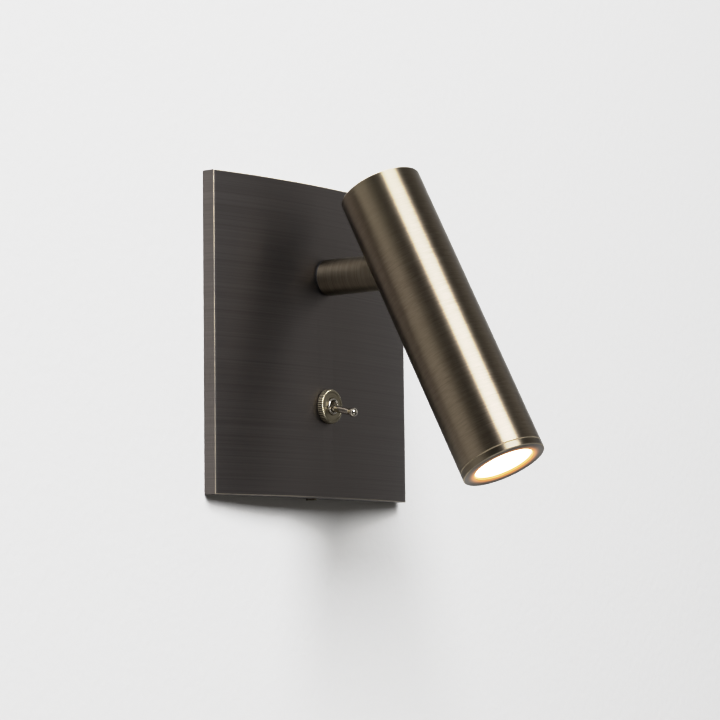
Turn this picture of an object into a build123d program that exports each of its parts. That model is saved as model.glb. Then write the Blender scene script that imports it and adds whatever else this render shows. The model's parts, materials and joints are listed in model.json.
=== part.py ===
from build123d import *
import os
from math import cos, radians, sin, sqrt, tan

# Bedside wall reading lamp, in millimetres. X runs to the right along the wall, -Y out into
# the room and +Z up. The origin lies on the wall, behind the middle of the cover.
# A depth is measured from the wall towards the room, so what lies in the wall box has a
# negative depth. A place along the head is measured from the pivot towards the light.

# Cover: square, arched about an upright axis
cover_width = 120.0
cover_height = 120.0
cover_side_depth = 5.0
cover_bulge = 6.45
cover_wall = 1.5
cover_bevel = 0.4
catch_width = 14.0
catch_thickness = 1.2
catch_start_depth = 2.5
catch_root = 0.5

# Bracket behind the cover
bracket_thickness = 1.5
bracket_clearance = 0.3
bracket_corner_radius = 3.0
window_width = 28.0
window_height = 26.0
window_corner_radius = 2.0
window_offset = 25.0
box_screw_spacing = 60.3
box_slot_width = 4.0
box_slot_length = 6.0
wall_hole_spacing = 92.0
wall_hole_diameter = 4.5
tab_width = 20.0
tab_depth = 6.2

# Screw under the cover
cover_screw_depth = 3.1
cover_screw_diameter = 2.5
cover_screw_head_diameter = 4.2
cover_screw_head_height = 0.8
cover_screw_reach = 4.6
driver_slot_width = 0.8
driver_slot_depth = 0.7

# General clearances
thread_clearance = 0.05
running_clearance = 0.05
hole_clearance = 0.2
seat_gap = 0.05
lead_clearance = 0.3

# Arm, its nipple and the swivel
arm_height = 24.65
arm_diameter = 14.0
arm_bore_diameter = 5.8
nipple_diameter = 10.0
nipple_bore_diameter = 7.0
nipple_engagement = 9.5
nipple_tail = 0.7
nipple_flat_height = 4.2
bush_diameter = 12.0
bush_flange_diameter = 13.4
bush_flange_thickness = 0.5
stop_washer_diameter = 16.0
stop_washer_thickness = 1.0
stop_tab_reach = 11.0
stop_tab_width = 3.0
stop_pin_diameter = 2.5
stop_pin_radius = 9.6
stop_pin_length = 1.45
wave_washer_diameter = 15.0
wave_washer_thickness = 0.6
lock_nut_across_flats = 14.0
lock_nut_thickness = 3.0
core_lead_diameter = 4.4

# Pivot between the arm and the head
pivot_depth = 53.55
eye_width = 12.0
eye_flat_length = 8.0
rest_angle = 63.2
lowest_angle = 90.0
highest_angle = 40.0
pivot_screw_diameter = 3.0
pivot_shoulder_diameter = 4.4
pivot_head_diameter = 7.0
pivot_head_height = 2.2
pivot_shoulder_length = 4.6
tilt_washer_diameter = 9.0
tilt_washer_thickness = 0.5
tilt_spring_thickness = 0.6

# Head
head_diameter = 32.0
shell_wall = 1.5
head_rear = 35.4
shell_front = 81.8
shell_slot_width = 14.6
shell_slot_front = 7.4
rim_bevel = 0.3
seam_bevel = 0.2
insert_clearance = 0.1
rear_cap_thickness = 3.0
rear_tongue_length = 5.0
rear_tongue_root = 3.0
cap_screw_diameter = 2.5
cap_screw_head_diameter = 4.6
cap_screw_head_height = 1.3
cap_screw_reach = 8.0
cap_screw_side = 7.0
cap_screw_height = 9.5

# Core that carries the pivot inside the head
core_front = 14.0
core_channel_depth = 7.6
core_channel_front = 7.8
core_cheek_rear = 9.0
core_cheek_seat = 10.5
core_screw_diameter = 3.0
core_screw_head_diameter = 5.5
core_screw_head_height = 2.8
core_screw_side = 4.2
core_screw_drop = 7.5
core_screw_reach = 3.4
lead_bore_diameter = 5.5
grub_diameter = 3.0
grub_place = 11.0
grub_length = 5.6
grub_recess = 0.6
grub_key_diameter = 1.5
grub_key_depth = 1.5

# Heat sink and light
sink_diameter = 28.4
optic_room = 19.8
sink_length = shell_front - core_front - optic_room
sink_flange_length = 4.0
fin_count = 12
fin_gap = 1.8
fin_root_radius = 6.0
pad_diameter = 20.0
pad_thickness = 0.5
board_thickness = 1.6
emitter_width = 5.0
emitter_base_height = 0.8
emitter_dome_radius = 1.5
holder_diameter = 26.0
holder_length = 18.4
holder_bore_diameter = 21.2
lens_flange_diameter = 23.2
lens_flange_thickness = 1.2
lens_front_diameter = 20.4
lens_rear_diameter = 8.0
lens_rear_gap = 0.3
lens_pocket_diameter = 5.0
lens_pocket_depth = 4.0
seal_thickness = 1.0
seal_diameter = 25.6
window_disc_diameter = 25.8
window_disc_thickness = 2.0
bezel_length = 2.8
bezel_aperture = 23.0
bezel_lip = 1.0
bezel_spigot_length = 6.8
bezel_spigot_diameter = 28.7

# Toggle switch
switch_drop = 25.1
bushing_diameter = 6.35
bushing_bore_diameter = 4.7
bushing_mouth = 0.4
bushing_length = 8.7
bushing_stand = 3.15
dress_nut_diameter = 13.2
dress_nut_thickness = 2.5
dress_nut_bevel = 0.2
knurl_count = 54
knurl_depth = 0.3
knurl_width = 0.4
lock_washer_diameter = 9.6
lock_washer_thickness = 0.5
back_nut_across_flats = 8.0
back_nut_thickness = 2.0
switch_frame_thickness = 0.5
switch_frame_leg = 6.0
switch_body_width = 7.9
switch_body_height = 13.2
switch_body_depth = 9.7
tag_width = 2.0
tag_thickness = 0.8
tag_length = 4.0
tag_pitch = 4.7
lever_angle = 12.2
lever_pivot_depth = 10.8
lever_length = 14.75
lever_diameter = 2.6
lever_tip_diameter = 3.5
lever_ball_diameter = 4.4
lever_tail_length = 4.0
lever_tail_diameter = 2.0

# Driver in the wall box
driver_length = 48.0
driver_height = 21.0
driver_depth = 20.0
driver_wall = 1.5
driver_screw_spacing = 40.0
driver_screw_diameter = 2.5
driver_screw_head_diameter = 5.0
driver_screw_head_height = 1.6
driver_screw_reach = 5.0
driver_boss_diameter = 5.6
driver_boss_length = 6.5
lid_lip = 0.7
lid_lip_wall = 1.2
circuit_thickness = 1.6
transformer_length = 12.0
transformer_width = 12.0
transformer_height = 7.5
transformer_place = 2.0
capacitor_diameter = 6.0
capacitor_height = 7.0
capacitor_place = 17.2
lead_entry_depth = 13.5
lead_entry_inset = 2.2
output_entry = 13.0
neutral_entry = -8.0
live_entry = -11.0

# Terminal block, earth stud and single leads
block_width = 16.0
block_height = 24.0
block_depth = 12.0
block_x = -24.0
block_z = 23.2
pole_count = 3
pole_pitch = 8.0
pole_depth = 6.5
clamp_size = 4.0
clamp_length = 14.0
clamp_bore_diameter = 3.0
clamp_screw_diameter = 2.5
clamp_screw_spacing = 8.0
clamp_screw_length = 3.2
block_screw_diameter = 2.5
block_screw_head_diameter = 4.6
block_screw_head_height = 1.5
block_screw_reach = 8.0
earth_x = 22.0
earth_z = 24.0
earth_stud_diameter = 4.0
earth_stud_length = 7.5
earth_flange_diameter = 6.4
earth_flange_thickness = 0.8
earth_washer_diameter = 8.6
earth_washer_thickness = 0.8
earth_nut_across_flats = 7.0
earth_nut_thickness = 3.0
lug_diameter = 7.6
lug_thickness = 0.8
lug_tongue_width = 3.0
lug_barrel_diameter = 3.2
lug_barrel_start = 6.0
lug_barrel_end = 11.0
lug_angle = 130.0
single_lead_diameter = 1.7
lead_insertion = 2.5
lug_lead_run = 4.5

# Where each lead bends on its way between its two ends
earth_lead_bends = [(4.0, 4.5, 35.6), (-7.0, 7.4, 32.2)]
neutral_lead_bends = [(-11.8, 6.8, 15.6), (-8.2, 13.2, 15.4)]
live_lead_bends = [
    (-11.5, 7.2, 23.0),
    (-10.5, 15.0, 19.5),
    (-12.0, 22.8, 12.5),
    (-11.0, 22.6, -6.5),
    (-6.5, 20.0, -15.5),
    (-1.5, 13.5, -19.3),
]
switched_lead_bends = [
    (-1.0, 13.5, -25.0),
    (-7.0, 17.0, -21.5),
    (-10.8, 14.5, -16.0),
]
output_lead_bends = [(0.5, 8.5, 24.4), (11.5, 13.0, 20.0)]

# Places worked out from the sizes above
cover_crest_depth = cover_side_depth + cover_bulge
cover_radius = ((cover_width / 2) ** 2 + cover_bulge**2) / (2 * cover_bulge)
cover_centre_depth = cover_crest_depth - cover_radius
inner_radius = cover_radius - cover_wall
inner_crest_depth = cover_crest_depth - cover_wall
inner_half_width = cover_width / 2 - cover_wall
inner_height = cover_height - 2 * cover_wall
bracket_width = 2 * (inner_half_width - bracket_clearance)
bracket_height = inner_height - 2 * bracket_clearance


def inner_depth(offset):
    """Depth of the cover's inner face at a distance to the side of its middle."""
    return cover_centre_depth + sqrt(inner_radius**2 - offset**2)


head_direction = Vector(0, -cos(radians(rest_angle)), -sin(radians(rest_angle)))
head_room_side = head_direction.cross(Vector(1, 0, 0))
pivot = Vector(0, -pivot_depth, arm_height)
head_axis = Axis(origin=pivot, direction=head_direction)
head_radius = head_diameter / 2
shell_bore_radius = head_radius - shell_wall
insert_radius = shell_bore_radius - insert_clearance
cap_face = -head_rear + rear_cap_thickness


def wall_at(depth):
    """Plane along the wall that faces the room, at a depth; its y runs up."""
    return Plane(origin=(0, -depth, 0), x_dir=(1, 0, 0), z_dir=(0, -1, 0))


def arm_at(depth):
    """The same plane, centred on the arm."""
    return Plane(origin=(0, -depth, arm_height), x_dir=(1, 0, 0), z_dir=(0, -1, 0))


def switch_at(depth):
    """The same plane, centred on the switch."""
    return Plane(origin=(0, -depth, -switch_drop), x_dir=(1, 0, 0), z_dir=(0, -1, 0))


def head_at(place):
    """Plane square to the head at a place along it; it looks towards the light, and its y
    points to the room side."""
    return Plane(origin=pivot + head_direction * place, x_dir=(1, 0, 0), z_dir=head_direction)


def head_wall_side(offset=0.0):
    """Plane along the head that faces the wall; its y runs towards the light."""
    start = pivot - head_room_side * offset
    return Plane(origin=start, x_dir=(1, 0, 0), z_dir=-head_room_side)


def pivot_at(offset):
    """Plane square to the pivot's axis that faces +X; its x runs out from the wall, its y
    down."""
    return Plane(origin=pivot + Vector(offset, 0, 0), x_dir=(0, -1, 0), z_dir=(1, 0, 0))


def arch_face(half_width, side_depth, crest_depth):
    """Plan of an arched cover: flat at the wall, bowed towards the room."""
    with BuildSketch() as arch:
        with BuildLine():
            Polyline(
                (-half_width, -side_depth),
                (-half_width, 0),
                (half_width, 0),
                (half_width, -side_depth),
            )
            ThreePointArc(
                (half_width, -side_depth), (0, -crest_depth), (-half_width, -side_depth)
            )
        make_face()
    return arch.sketch


def ring(plane, outer_diameter, inner_diameter, thickness):
    """Flat ring that grows from a plane."""
    with BuildPart() as made:
        with BuildSketch(plane):
            Circle(outer_diameter / 2)
            Circle(inner_diameter / 2, mode=Mode.SUBTRACT)
        extrude(amount=thickness)
    return made.part


def hexagon_nut(plane, across_flats, bore_diameter, thickness):
    """Plain hexagon nut that grows from a plane."""
    with BuildPart() as made:
        with BuildSketch(plane):
            RegularPolygon(across_flats / 2, 6, major_radius=False)
            Circle(bore_diameter / 2, mode=Mode.SUBTRACT)
        extrude(amount=thickness)
    return made.part


def slotted_screw(plane, shank_diameter, reach, head_diameter, head_height, shoulder=0.0):
    """Screw whose head grows from a plane and whose shank goes the other way, with a driver
    slot across the head. A shoulder leaves the shank out over its length."""
    with BuildPart() as made:
        with BuildSketch(plane):
            Circle(head_diameter / 2)
        extrude(amount=head_height)
        with BuildSketch(plane.offset(head_height)):
            Rectangle(head_diameter * 2, driver_slot_width)
        extrude(amount=-min(driver_slot_depth, head_height / 2), mode=Mode.SUBTRACT)
        with BuildSketch(plane.offset(-shoulder)):
            Circle(shank_diameter / 2 - thread_clearance)
        extrude(amount=-(reach - shoulder))
    return made.part


def lead(points, diameter, name):
    """Insulated lead: straight runs joined by arcs as large as the two runs allow."""
    corners = [Vector(*point) for point in points]
    runs = [end - start for start, end in zip(corners, corners[1:])]
    radii = []
    for before, after in zip(runs, runs[1:]):
        half_turn = radians(before.get_angle(after)) / 2
        radii.append(0.45 * min(before.length, after.length) / tan(half_turn))
    with BuildPart() as made:
        with BuildLine() as route:
            FilletPolyline(*corners, radius=radii)
        with BuildSketch(Plane(origin=corners[0], z_dir=runs[0])):
            Circle(diameter / 2)
        sweep()
    length = sum(edge.length for edge in route.edges())
    print(f"{name}: length {length:.1f}, least radius {min(radii):.1f}")
    return made.part


# ---- Cover ----

arm_hole_radius = bush_diameter / 2 + running_clearance
switch_hole_radius = (bushing_diameter + hole_clearance) / 2
tab_top = bracket_height / 2
catch_top = tab_top - bracket_thickness - hole_clearance

with BuildPart() as front_cover:
    with BuildSketch(Plane.XY.offset(-cover_height / 2)):
        add(arch_face(cover_width / 2, cover_side_depth, cover_crest_depth))
    extrude(amount=cover_height)
    front_edges = front_cover.edges().filter_by(
        lambda edge: edge.bounding_box().max.Y < -cover_side_depth + cover_bevel / 10
    )
    chamfer(front_edges, length=cover_bevel)
    with BuildSketch(Plane.XY.offset(-inner_height / 2)):
        add(arch_face(inner_half_width, inner_depth(inner_half_width), inner_crest_depth))
    extrude(amount=inner_height, mode=Mode.SUBTRACT)
    # The catch is welded inside, under the bracket's top tab
    with BuildSketch(wall_at(catch_start_depth)):
        with Locations((0, catch_top - catch_thickness / 2)):
            Rectangle(catch_width, catch_thickness)
    extrude(amount=inner_depth(catch_width / 2) + catch_root - catch_start_depth)
    with BuildSketch(arm_at(inner_crest_depth - cover_wall)):
        Circle(arm_hole_radius)
    extrude(amount=3 * cover_wall, mode=Mode.SUBTRACT)
    with BuildSketch(switch_at(inner_crest_depth - cover_wall)):
        Circle(switch_hole_radius)
    extrude(amount=3 * cover_wall, mode=Mode.SUBTRACT)
    with BuildSketch(Plane.XY.offset(-cover_height / 2)):
        with Locations((0, -cover_screw_depth)):
            Circle((cover_screw_diameter + 2 * hole_clearance) / 2)
    extrude(amount=cover_wall, mode=Mode.SUBTRACT)

# The screw's head is under the cover and its shank runs up into the bracket's lower tab
cover_screw_plane = Plane(
    origin=(0, -cover_screw_depth, -cover_height / 2), x_dir=(1, 0, 0), z_dir=(0, 0, -1)
)
with BuildPart() as cover_screw:
    add(
        slotted_screw(
            cover_screw_plane,
            cover_screw_diameter,
            cover_screw_reach,
            cover_screw_head_diameter,
            cover_screw_head_height,
        )
    )

# ---- Bracket ----

block_screw_z = block_z - pole_pitch / 2

with BuildPart() as mounting_bracket:
    with BuildSketch(wall_at(0)):
        RectangleRounded(bracket_width, bracket_height, bracket_corner_radius)
        with Locations((0, window_offset), (0, -window_offset)):
            RectangleRounded(
                window_width, window_height, window_corner_radius, mode=Mode.SUBTRACT
            )
        with Locations((-box_screw_spacing / 2, 0), (box_screw_spacing / 2, 0)):
            SlotOverall(box_slot_length, box_slot_width, mode=Mode.SUBTRACT)
        with GridLocations(wall_hole_spacing, wall_hole_spacing, 2, 2):
            Circle(wall_hole_diameter / 2, mode=Mode.SUBTRACT)
        with Locations((-driver_screw_spacing / 2, 0), (driver_screw_spacing / 2, 0)):
            Circle((driver_screw_diameter + hole_clearance) / 2, mode=Mode.SUBTRACT)
        with Locations((block_x, block_screw_z)):
            Circle((block_screw_diameter + hole_clearance) / 2, mode=Mode.SUBTRACT)
        with Locations((earth_x, earth_z)):
            Circle(earth_stud_diameter / 2 + thread_clearance, mode=Mode.SUBTRACT)
    extrude(amount=bracket_thickness)
    # The upper tab hooks over the cover's catch and the lower one takes its screw
    with BuildSketch(wall_at(0)):
        tab_centre = tab_top - bracket_thickness / 2
        with Locations((0, tab_centre), (0, -tab_centre)):
            Rectangle(tab_width, bracket_thickness)
    extrude(amount=tab_depth)
    with BuildSketch(Plane.XY.offset(-tab_top)):
        with Locations((0, -cover_screw_depth)):
            Circle(cover_screw_diameter / 2)
    extrude(amount=bracket_thickness, mode=Mode.SUBTRACT)

# ---- Swivel of the arm ----

bush_rear_depth = inner_depth(stop_tab_reach) - 2 * seat_gap
arm_root_depth = cover_crest_depth + bush_flange_thickness + seat_gap
stop_washer_depth = bush_rear_depth - seat_gap - stop_washer_thickness
wave_washer_depth = stop_washer_depth - seat_gap - wave_washer_thickness
lock_nut_depth = wave_washer_depth - seat_gap - lock_nut_thickness
nipple_rear_depth = lock_nut_depth - nipple_tail
nipple_front_depth = arm_root_depth + nipple_engagement

with BuildPart() as swivel_bush:
    with BuildSketch(arm_at(bush_rear_depth)):
        Circle(bush_diameter / 2)
    extrude(amount=cover_crest_depth - bush_rear_depth)
    with BuildSketch(arm_at(cover_crest_depth)):
        Circle(bush_flange_diameter / 2)
    extrude(amount=bush_flange_thickness)
    with BuildSketch(arm_at(bush_rear_depth)):
        Circle(nipple_diameter / 2 + running_clearance)
    extrude(amount=arm_root_depth - bush_rear_depth, mode=Mode.SUBTRACT)

stop_pin_root = inner_depth(stop_pin_diameter / 2)
with BuildPart() as swivel_stop_pin:
    with BuildSketch(arm_at(stop_pin_root)):
        with Locations((0, stop_pin_radius)):
            Circle(stop_pin_diameter / 2)
    extrude(amount=-stop_pin_length)

with BuildPart() as arm_nipple:
    with BuildSketch(arm_at(nipple_rear_depth)):
        Circle(nipple_diameter / 2 - thread_clearance)
        Circle(nipple_bore_diameter / 2, mode=Mode.SUBTRACT)
    extrude(amount=nipple_front_depth - nipple_rear_depth)
    # Flat that keys the stop washer
    with BuildSketch(arm_at(nipple_rear_depth)):
        with Locations((0, nipple_flat_height)):
            Rectangle(
                nipple_diameter, nipple_diameter, align=(Align.CENTER, Align.MIN)
            )
    extrude(amount=bush_rear_depth - nipple_rear_depth, mode=Mode.SUBTRACT)

with BuildPart() as stop_washer:
    with BuildSketch(arm_at(stop_washer_depth)):
        Circle(stop_washer_diameter / 2)
        with Locations((0, -stop_tab_reach / 2)):
            Rectangle(stop_tab_width, stop_tab_reach)
        with BuildSketch(mode=Mode.PRIVATE) as key_hole:
            Circle(nipple_diameter / 2)
            with Locations((0, nipple_flat_height + thread_clearance)):
                Rectangle(
                    nipple_diameter,
                    nipple_diameter,
                    align=(Align.CENTER, Align.MIN),
                    mode=Mode.SUBTRACT,
                )
        add(key_hole.sketch, mode=Mode.SUBTRACT)
    extrude(amount=stop_washer_thickness)

with BuildPart() as wave_washer:
    add(
        ring(
            arm_at(wave_washer_depth),
            wave_washer_diameter,
            nipple_diameter + hole_clearance,
            wave_washer_thickness,
        )
    )

with BuildPart() as arm_lock_nut:
    add(
        hexagon_nut(
            arm_at(lock_nut_depth), lock_nut_across_flats, nipple_diameter, lock_nut_thickness
        )
    )

# ---- Arm ----

arm_radius = arm_diameter / 2
lead_passage = arm_bore_diameter / 2
fan_length = 2 * arm_radius


def outward_turned(angle, length, sideways):
    """Point reached from the pivot along a direction turned down from the arm's outward
    one, then stepped to the upper side of that direction."""
    along = Vector(cos(radians(angle)), sin(radians(angle)))
    upper = Vector(sin(radians(angle)), -cos(radians(angle)))
    return along * length + upper * sideways


with BuildPart() as arm_tube:
    with BuildSketch(arm_at(arm_root_depth)):
        Circle(arm_radius)
    extrude(amount=pivot_depth + arm_radius - arm_root_depth)
    # Rounded eye about the pivot
    with BuildSketch(pivot_at(0)):
        Circle(arm_radius)
        Rectangle(
            pivot_depth - arm_root_depth, arm_diameter, align=(Align.MAX, Align.CENTER)
        )
    extrude(amount=arm_diameter, both=True, mode=Mode.INTERSECT)
    # Flats for the washers
    for side in (-1, 1):
        with BuildSketch(pivot_at(side * eye_width / 2)):
            Rectangle(eye_flat_length + 2 * arm_radius, 2 * arm_diameter)
        extrude(amount=side * arm_diameter, mode=Mode.SUBTRACT)
    # Bore for the lead, wider at the root for the nipple
    with BuildSketch(arm_at(arm_root_depth)):
        Circle(lead_passage)
    extrude(amount=pivot_depth - arm_root_depth, mode=Mode.SUBTRACT)
    with BuildSketch(arm_at(arm_root_depth)):
        Circle(nipple_diameter / 2)
    extrude(amount=nipple_engagement + seat_gap, mode=Mode.SUBTRACT)
    # Fan in the eye, where the lead swings between the two ends of the tilt
    with BuildSketch(pivot_at(-lead_passage)):
        Circle(lead_passage)
        with BuildLine():
            Polyline(
                outward_turned(highest_angle, 0, lead_passage),
                outward_turned(highest_angle, fan_length, lead_passage),
                outward_turned(lowest_angle, fan_length, -lead_passage),
                outward_turned(lowest_angle, 0, -lead_passage),
                close=True,
            )
        make_face()
    extrude(amount=2 * lead_passage, mode=Mode.SUBTRACT)
    with BuildSketch(pivot_at(-eye_width)):
        Circle(pivot_screw_diameter / 2)
    extrude(amount=2 * eye_width, mode=Mode.SUBTRACT)

arm_lead_end = pivot_depth - core_lead_diameter / 2 - lead_clearance
with BuildPart() as arm_lead:
    with BuildSketch(arm_at(nipple_rear_depth)):
        Circle(core_lead_diameter / 2)
    extrude(amount=arm_lead_end - nipple_rear_depth)

# ---- Pivot ----

head_seat = eye_width / 2 + pivot_shoulder_length
washer_seat = eye_width / 2 + seat_gap
spring_seat = washer_seat + tilt_washer_thickness + seat_gap

with BuildPart() as pivot_screws:
    for side in (-1, 1):
        screw_plane = Plane(
            origin=pivot + Vector(side * head_seat, 0, 0), x_dir=(0, 0, 1), z_dir=(side, 0, 0)
        )
        with BuildSketch(screw_plane):
            Circle(pivot_shoulder_diameter / 2)
        extrude(amount=-pivot_shoulder_length)
        add(
            slotted_screw(
                screw_plane,
                pivot_screw_diameter,
                head_seat - lead_passage - hole_clearance,
                pivot_head_diameter,
                pivot_head_height,
                shoulder=pivot_shoulder_length,
            )
        )

washer_hole = pivot_shoulder_diameter + hole_clearance
with BuildPart() as tilt_washers:
    for side in (-1, 1):
        washer_plane = Plane(
            origin=pivot + Vector(side * washer_seat, 0, 0), z_dir=(side, 0, 0)
        )
        add(ring(washer_plane, tilt_washer_diameter, washer_hole, tilt_washer_thickness))

with BuildPart() as tilt_spring_washers:
    for side in (-1, 1):
        spring_plane = Plane(
            origin=pivot + Vector(side * spring_seat, 0, 0), z_dir=(side, 0, 0)
        )
        add(ring(spring_plane, tilt_washer_diameter, washer_hole, tilt_spring_thickness))

# ---- Shell of the head and its rear cap ----

slot_radius = shell_slot_width / 2
slot_centre = shell_slot_front - slot_radius

with BuildPart() as head_shell:
    with BuildSketch(head_at(-head_rear)):
        Circle(head_radius)
        Circle(shell_bore_radius, mode=Mode.SUBTRACT)
    extrude(amount=head_rear + shell_front)
    rear_face = head_shell.faces().sort_by(head_axis)[0]
    chamfer(rear_face.outer_wire().edges(), length=rim_bevel)
    front_face = head_shell.faces().sort_by(head_axis)[-1]
    chamfer(front_face.outer_wire().edges(), length=seam_bevel)
    # Slot on the wall side, where the arm comes in
    with BuildSketch(head_wall_side()):
        with Locations((0, slot_centre)):
            Circle(slot_radius)
            Rectangle(
                shell_slot_width,
                head_rear + 2 * slot_radius,
                align=(Align.CENTER, Align.MAX),
            )
    extrude(amount=head_diameter, mode=Mode.SUBTRACT)
    with BuildSketch(head_wall_side()):
        with Locations((0, grub_place)):
            Circle((grub_diameter + hole_clearance) / 2)
    extrude(amount=head_diameter, mode=Mode.SUBTRACT)

cap_screw_places = [(-cap_screw_side, cap_screw_height), (cap_screw_side, cap_screw_height)]

with BuildPart() as rear_cap:
    with BuildSketch(head_at(-head_rear)):
        Circle(insert_radius)
    extrude(amount=rear_cap_thickness)
    # Tongue that closes the open end of the slot
    with BuildSketch(head_at(-head_rear)):
        Circle(head_radius)
        with Locations((0, -head_radius)):
            Rectangle(
                shell_slot_width - 2 * hole_clearance, 2 * rear_tongue_root, mode=Mode.INTERSECT
            )
    extrude(amount=rear_tongue_length)
    tongue_rim = (
        rear_cap.edges()
        .filter_by(GeomType.CIRCLE)
        .filter_by(lambda edge: abs(edge.radius - head_radius) < seat_gap)
        .sort_by(head_axis)[0]
    )
    chamfer(tongue_rim, length=rim_bevel)
    with BuildSketch(head_at(-head_rear)):
        with Locations(*cap_screw_places):
            Circle((cap_screw_diameter + hole_clearance) / 2)
    extrude(amount=rear_cap_thickness, mode=Mode.SUBTRACT)
    with BuildSketch(head_at(-head_rear)):
        with Locations(*cap_screw_places):
            Circle((cap_screw_head_diameter + hole_clearance) / 2)
    extrude(amount=cap_screw_head_height + seat_gap, mode=Mode.SUBTRACT)

cap_screw_seat = -head_rear + cap_screw_head_height + seat_gap
with BuildPart() as rear_cap_screws:
    for across, up in cap_screw_places:
        seat_origin = head_at(cap_screw_seat).from_local_coords((across, up, 0))
        add(
            slotted_screw(
                Plane(origin=seat_origin, x_dir=(1, 0, 0), z_dir=-head_direction),
                cap_screw_diameter,
                cap_screw_reach,
                cap_screw_head_diameter,
                cap_screw_head_height,
            )
        )

# ---- Core of the head ----

core_screw_places = [(-core_screw_side, -core_screw_drop), (core_screw_side, -core_screw_drop)]
core_screw_seat = core_channel_front + core_screw_head_height + hole_clearance

with BuildPart() as hinge_core:
    with BuildSketch(head_at(cap_face)):
        Circle(insert_radius)
    extrude(amount=core_front - cap_face)
    # Channel for the arm's eye, open towards the wall and the rear
    with BuildSketch(head_wall_side(-core_channel_depth)):
        with Locations((0, core_channel_front)):
            Rectangle(
                shell_slot_width,
                core_channel_front + head_rear,
                align=(Align.CENTER, Align.MAX),
            )
    extrude(amount=head_diameter, mode=Mode.SUBTRACT)
    # Behind the cheeks only the saddle on the room side goes on to the rear cap
    with BuildSketch(head_wall_side(-core_channel_depth)):
        with Locations((0, -core_cheek_rear)):
            Rectangle(head_diameter, head_rear, align=(Align.CENTER, Align.MAX))
    extrude(amount=head_diameter, mode=Mode.SUBTRACT)
    # Pivot holes with seats for the screws' heads
    with BuildSketch(pivot_at(-head_radius)):
        Circle(pivot_shoulder_diameter / 2 + running_clearance)
    extrude(amount=head_diameter, mode=Mode.SUBTRACT)
    for side in (-1, 1):
        with BuildSketch(pivot_at(side * core_cheek_seat)):
            Circle(pivot_head_diameter / 2 + lead_clearance)
        extrude(amount=side * head_radius, mode=Mode.SUBTRACT)
    with BuildSketch(head_at(core_channel_front - hole_clearance)):
        Circle(lead_bore_diameter / 2)
        with Locations(*core_screw_places):
            Circle((core_screw_diameter + hole_clearance) / 2)
    extrude(amount=core_front, mode=Mode.SUBTRACT)
    with BuildSketch(head_at(core_channel_front - hole_clearance)):
        with Locations(*core_screw_places):
            Circle((core_screw_head_diameter + hole_clearance) / 2)
    extrude(amount=core_screw_seat - core_channel_front + hole_clearance, mode=Mode.SUBTRACT)
    with BuildSketch(head_wall_side(head_radius - grub_recess - grub_length)):
        with Locations((0, grub_place)):
            Circle(grub_diameter / 2)
    extrude(amount=grub_length, mode=Mode.SUBTRACT)
    with BuildSketch(head_at(cap_face)):
        with Locations(*cap_screw_places):
            Circle(cap_screw_diameter / 2)
    extrude(amount=cap_screw_reach, mode=Mode.SUBTRACT)

with BuildPart() as core_screws:
    for across, up in core_screw_places:
        seat_origin = head_at(core_screw_seat).from_local_coords((across, up, 0))
        add(
            slotted_screw(
                Plane(origin=seat_origin, x_dir=(1, 0, 0), z_dir=-head_direction),
                core_screw_diameter,
                core_front - core_screw_seat + core_screw_reach,
                core_screw_head_diameter,
                core_screw_head_height,
            )
        )

with BuildPart() as shell_grub_screw:
    with BuildSketch(head_wall_side(head_radius - grub_recess)):
        with Locations((0, grub_place)):
            Circle(grub_diameter / 2 - thread_clearance)
    extrude(amount=-(grub_length - seat_gap))
    with BuildSketch(head_wall_side(head_radius - grub_recess)):
        with Locations((0, grub_place)):
            RegularPolygon(grub_key_diameter / 2, 6, major_radius=False)
    extrude(amount=-grub_key_depth, mode=Mode.SUBTRACT)

# ---- Heat sink and light ----

sink_front = core_front + sink_length
board_rear = sink_front + pad_thickness
board_front = board_rear + board_thickness
fin_middle = (fin_root_radius + sink_diameter) / 2

with BuildPart() as heat_sink:
    with BuildSketch(head_at(core_front)):
        Circle(sink_diameter / 2)
        Circle(lead_bore_diameter / 2, mode=Mode.SUBTRACT)
    extrude(amount=sink_length)
    with BuildSketch(head_at(core_front + sink_flange_length)):
        with PolarLocations(fin_middle, fin_count):
            Rectangle(sink_diameter - fin_root_radius, fin_gap)
    extrude(amount=sink_length - 2 * sink_flange_length, mode=Mode.SUBTRACT)
    with BuildSketch(head_at(core_front)):
        with Locations(*core_screw_places):
            Circle(core_screw_diameter / 2)
    extrude(amount=sink_flange_length, mode=Mode.SUBTRACT)

with BuildPart() as thermal_pad:
    add(ring(head_at(sink_front), pad_diameter, lead_bore_diameter, pad_thickness))

with BuildPart() as led_board:
    with BuildSketch(head_at(board_rear)):
        Circle(pad_diameter / 2)
    extrude(amount=board_thickness)

with BuildPart() as led_emitter:
    with BuildSketch(head_at(board_front)):
        Rectangle(emitter_width, emitter_width)
    extrude(amount=emitter_base_height)
    with BuildSketch(head_wall_side()):
        with Locations((0, board_front + emitter_base_height)):
            Circle(emitter_dome_radius)
            Rectangle(
                2 * emitter_dome_radius,
                2 * emitter_dome_radius,
                align=(Align.CENTER, Align.MAX),
                mode=Mode.SUBTRACT,
            )
            Rectangle(
                2 * emitter_dome_radius,
                4 * emitter_dome_radius,
                align=(Align.MAX, Align.CENTER),
                mode=Mode.SUBTRACT,
            )
    revolve(axis=head_axis)

holder_front = sink_front + holder_length
lens_flange_rear = holder_front - lens_flange_thickness
lens_rear = board_front + emitter_base_height + lens_rear_gap
holder_bore_radius = holder_bore_diameter / 2

with BuildPart() as lens_holder:
    with BuildSketch(head_at(sink_front)):
        Circle(holder_diameter / 2)
        Circle(holder_bore_radius, mode=Mode.SUBTRACT)
    extrude(amount=holder_length)
    with BuildSketch(head_at(lens_flange_rear)):
        Circle((lens_flange_diameter + hole_clearance) / 2)
    extrude(amount=lens_flange_thickness, mode=Mode.SUBTRACT)

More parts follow.
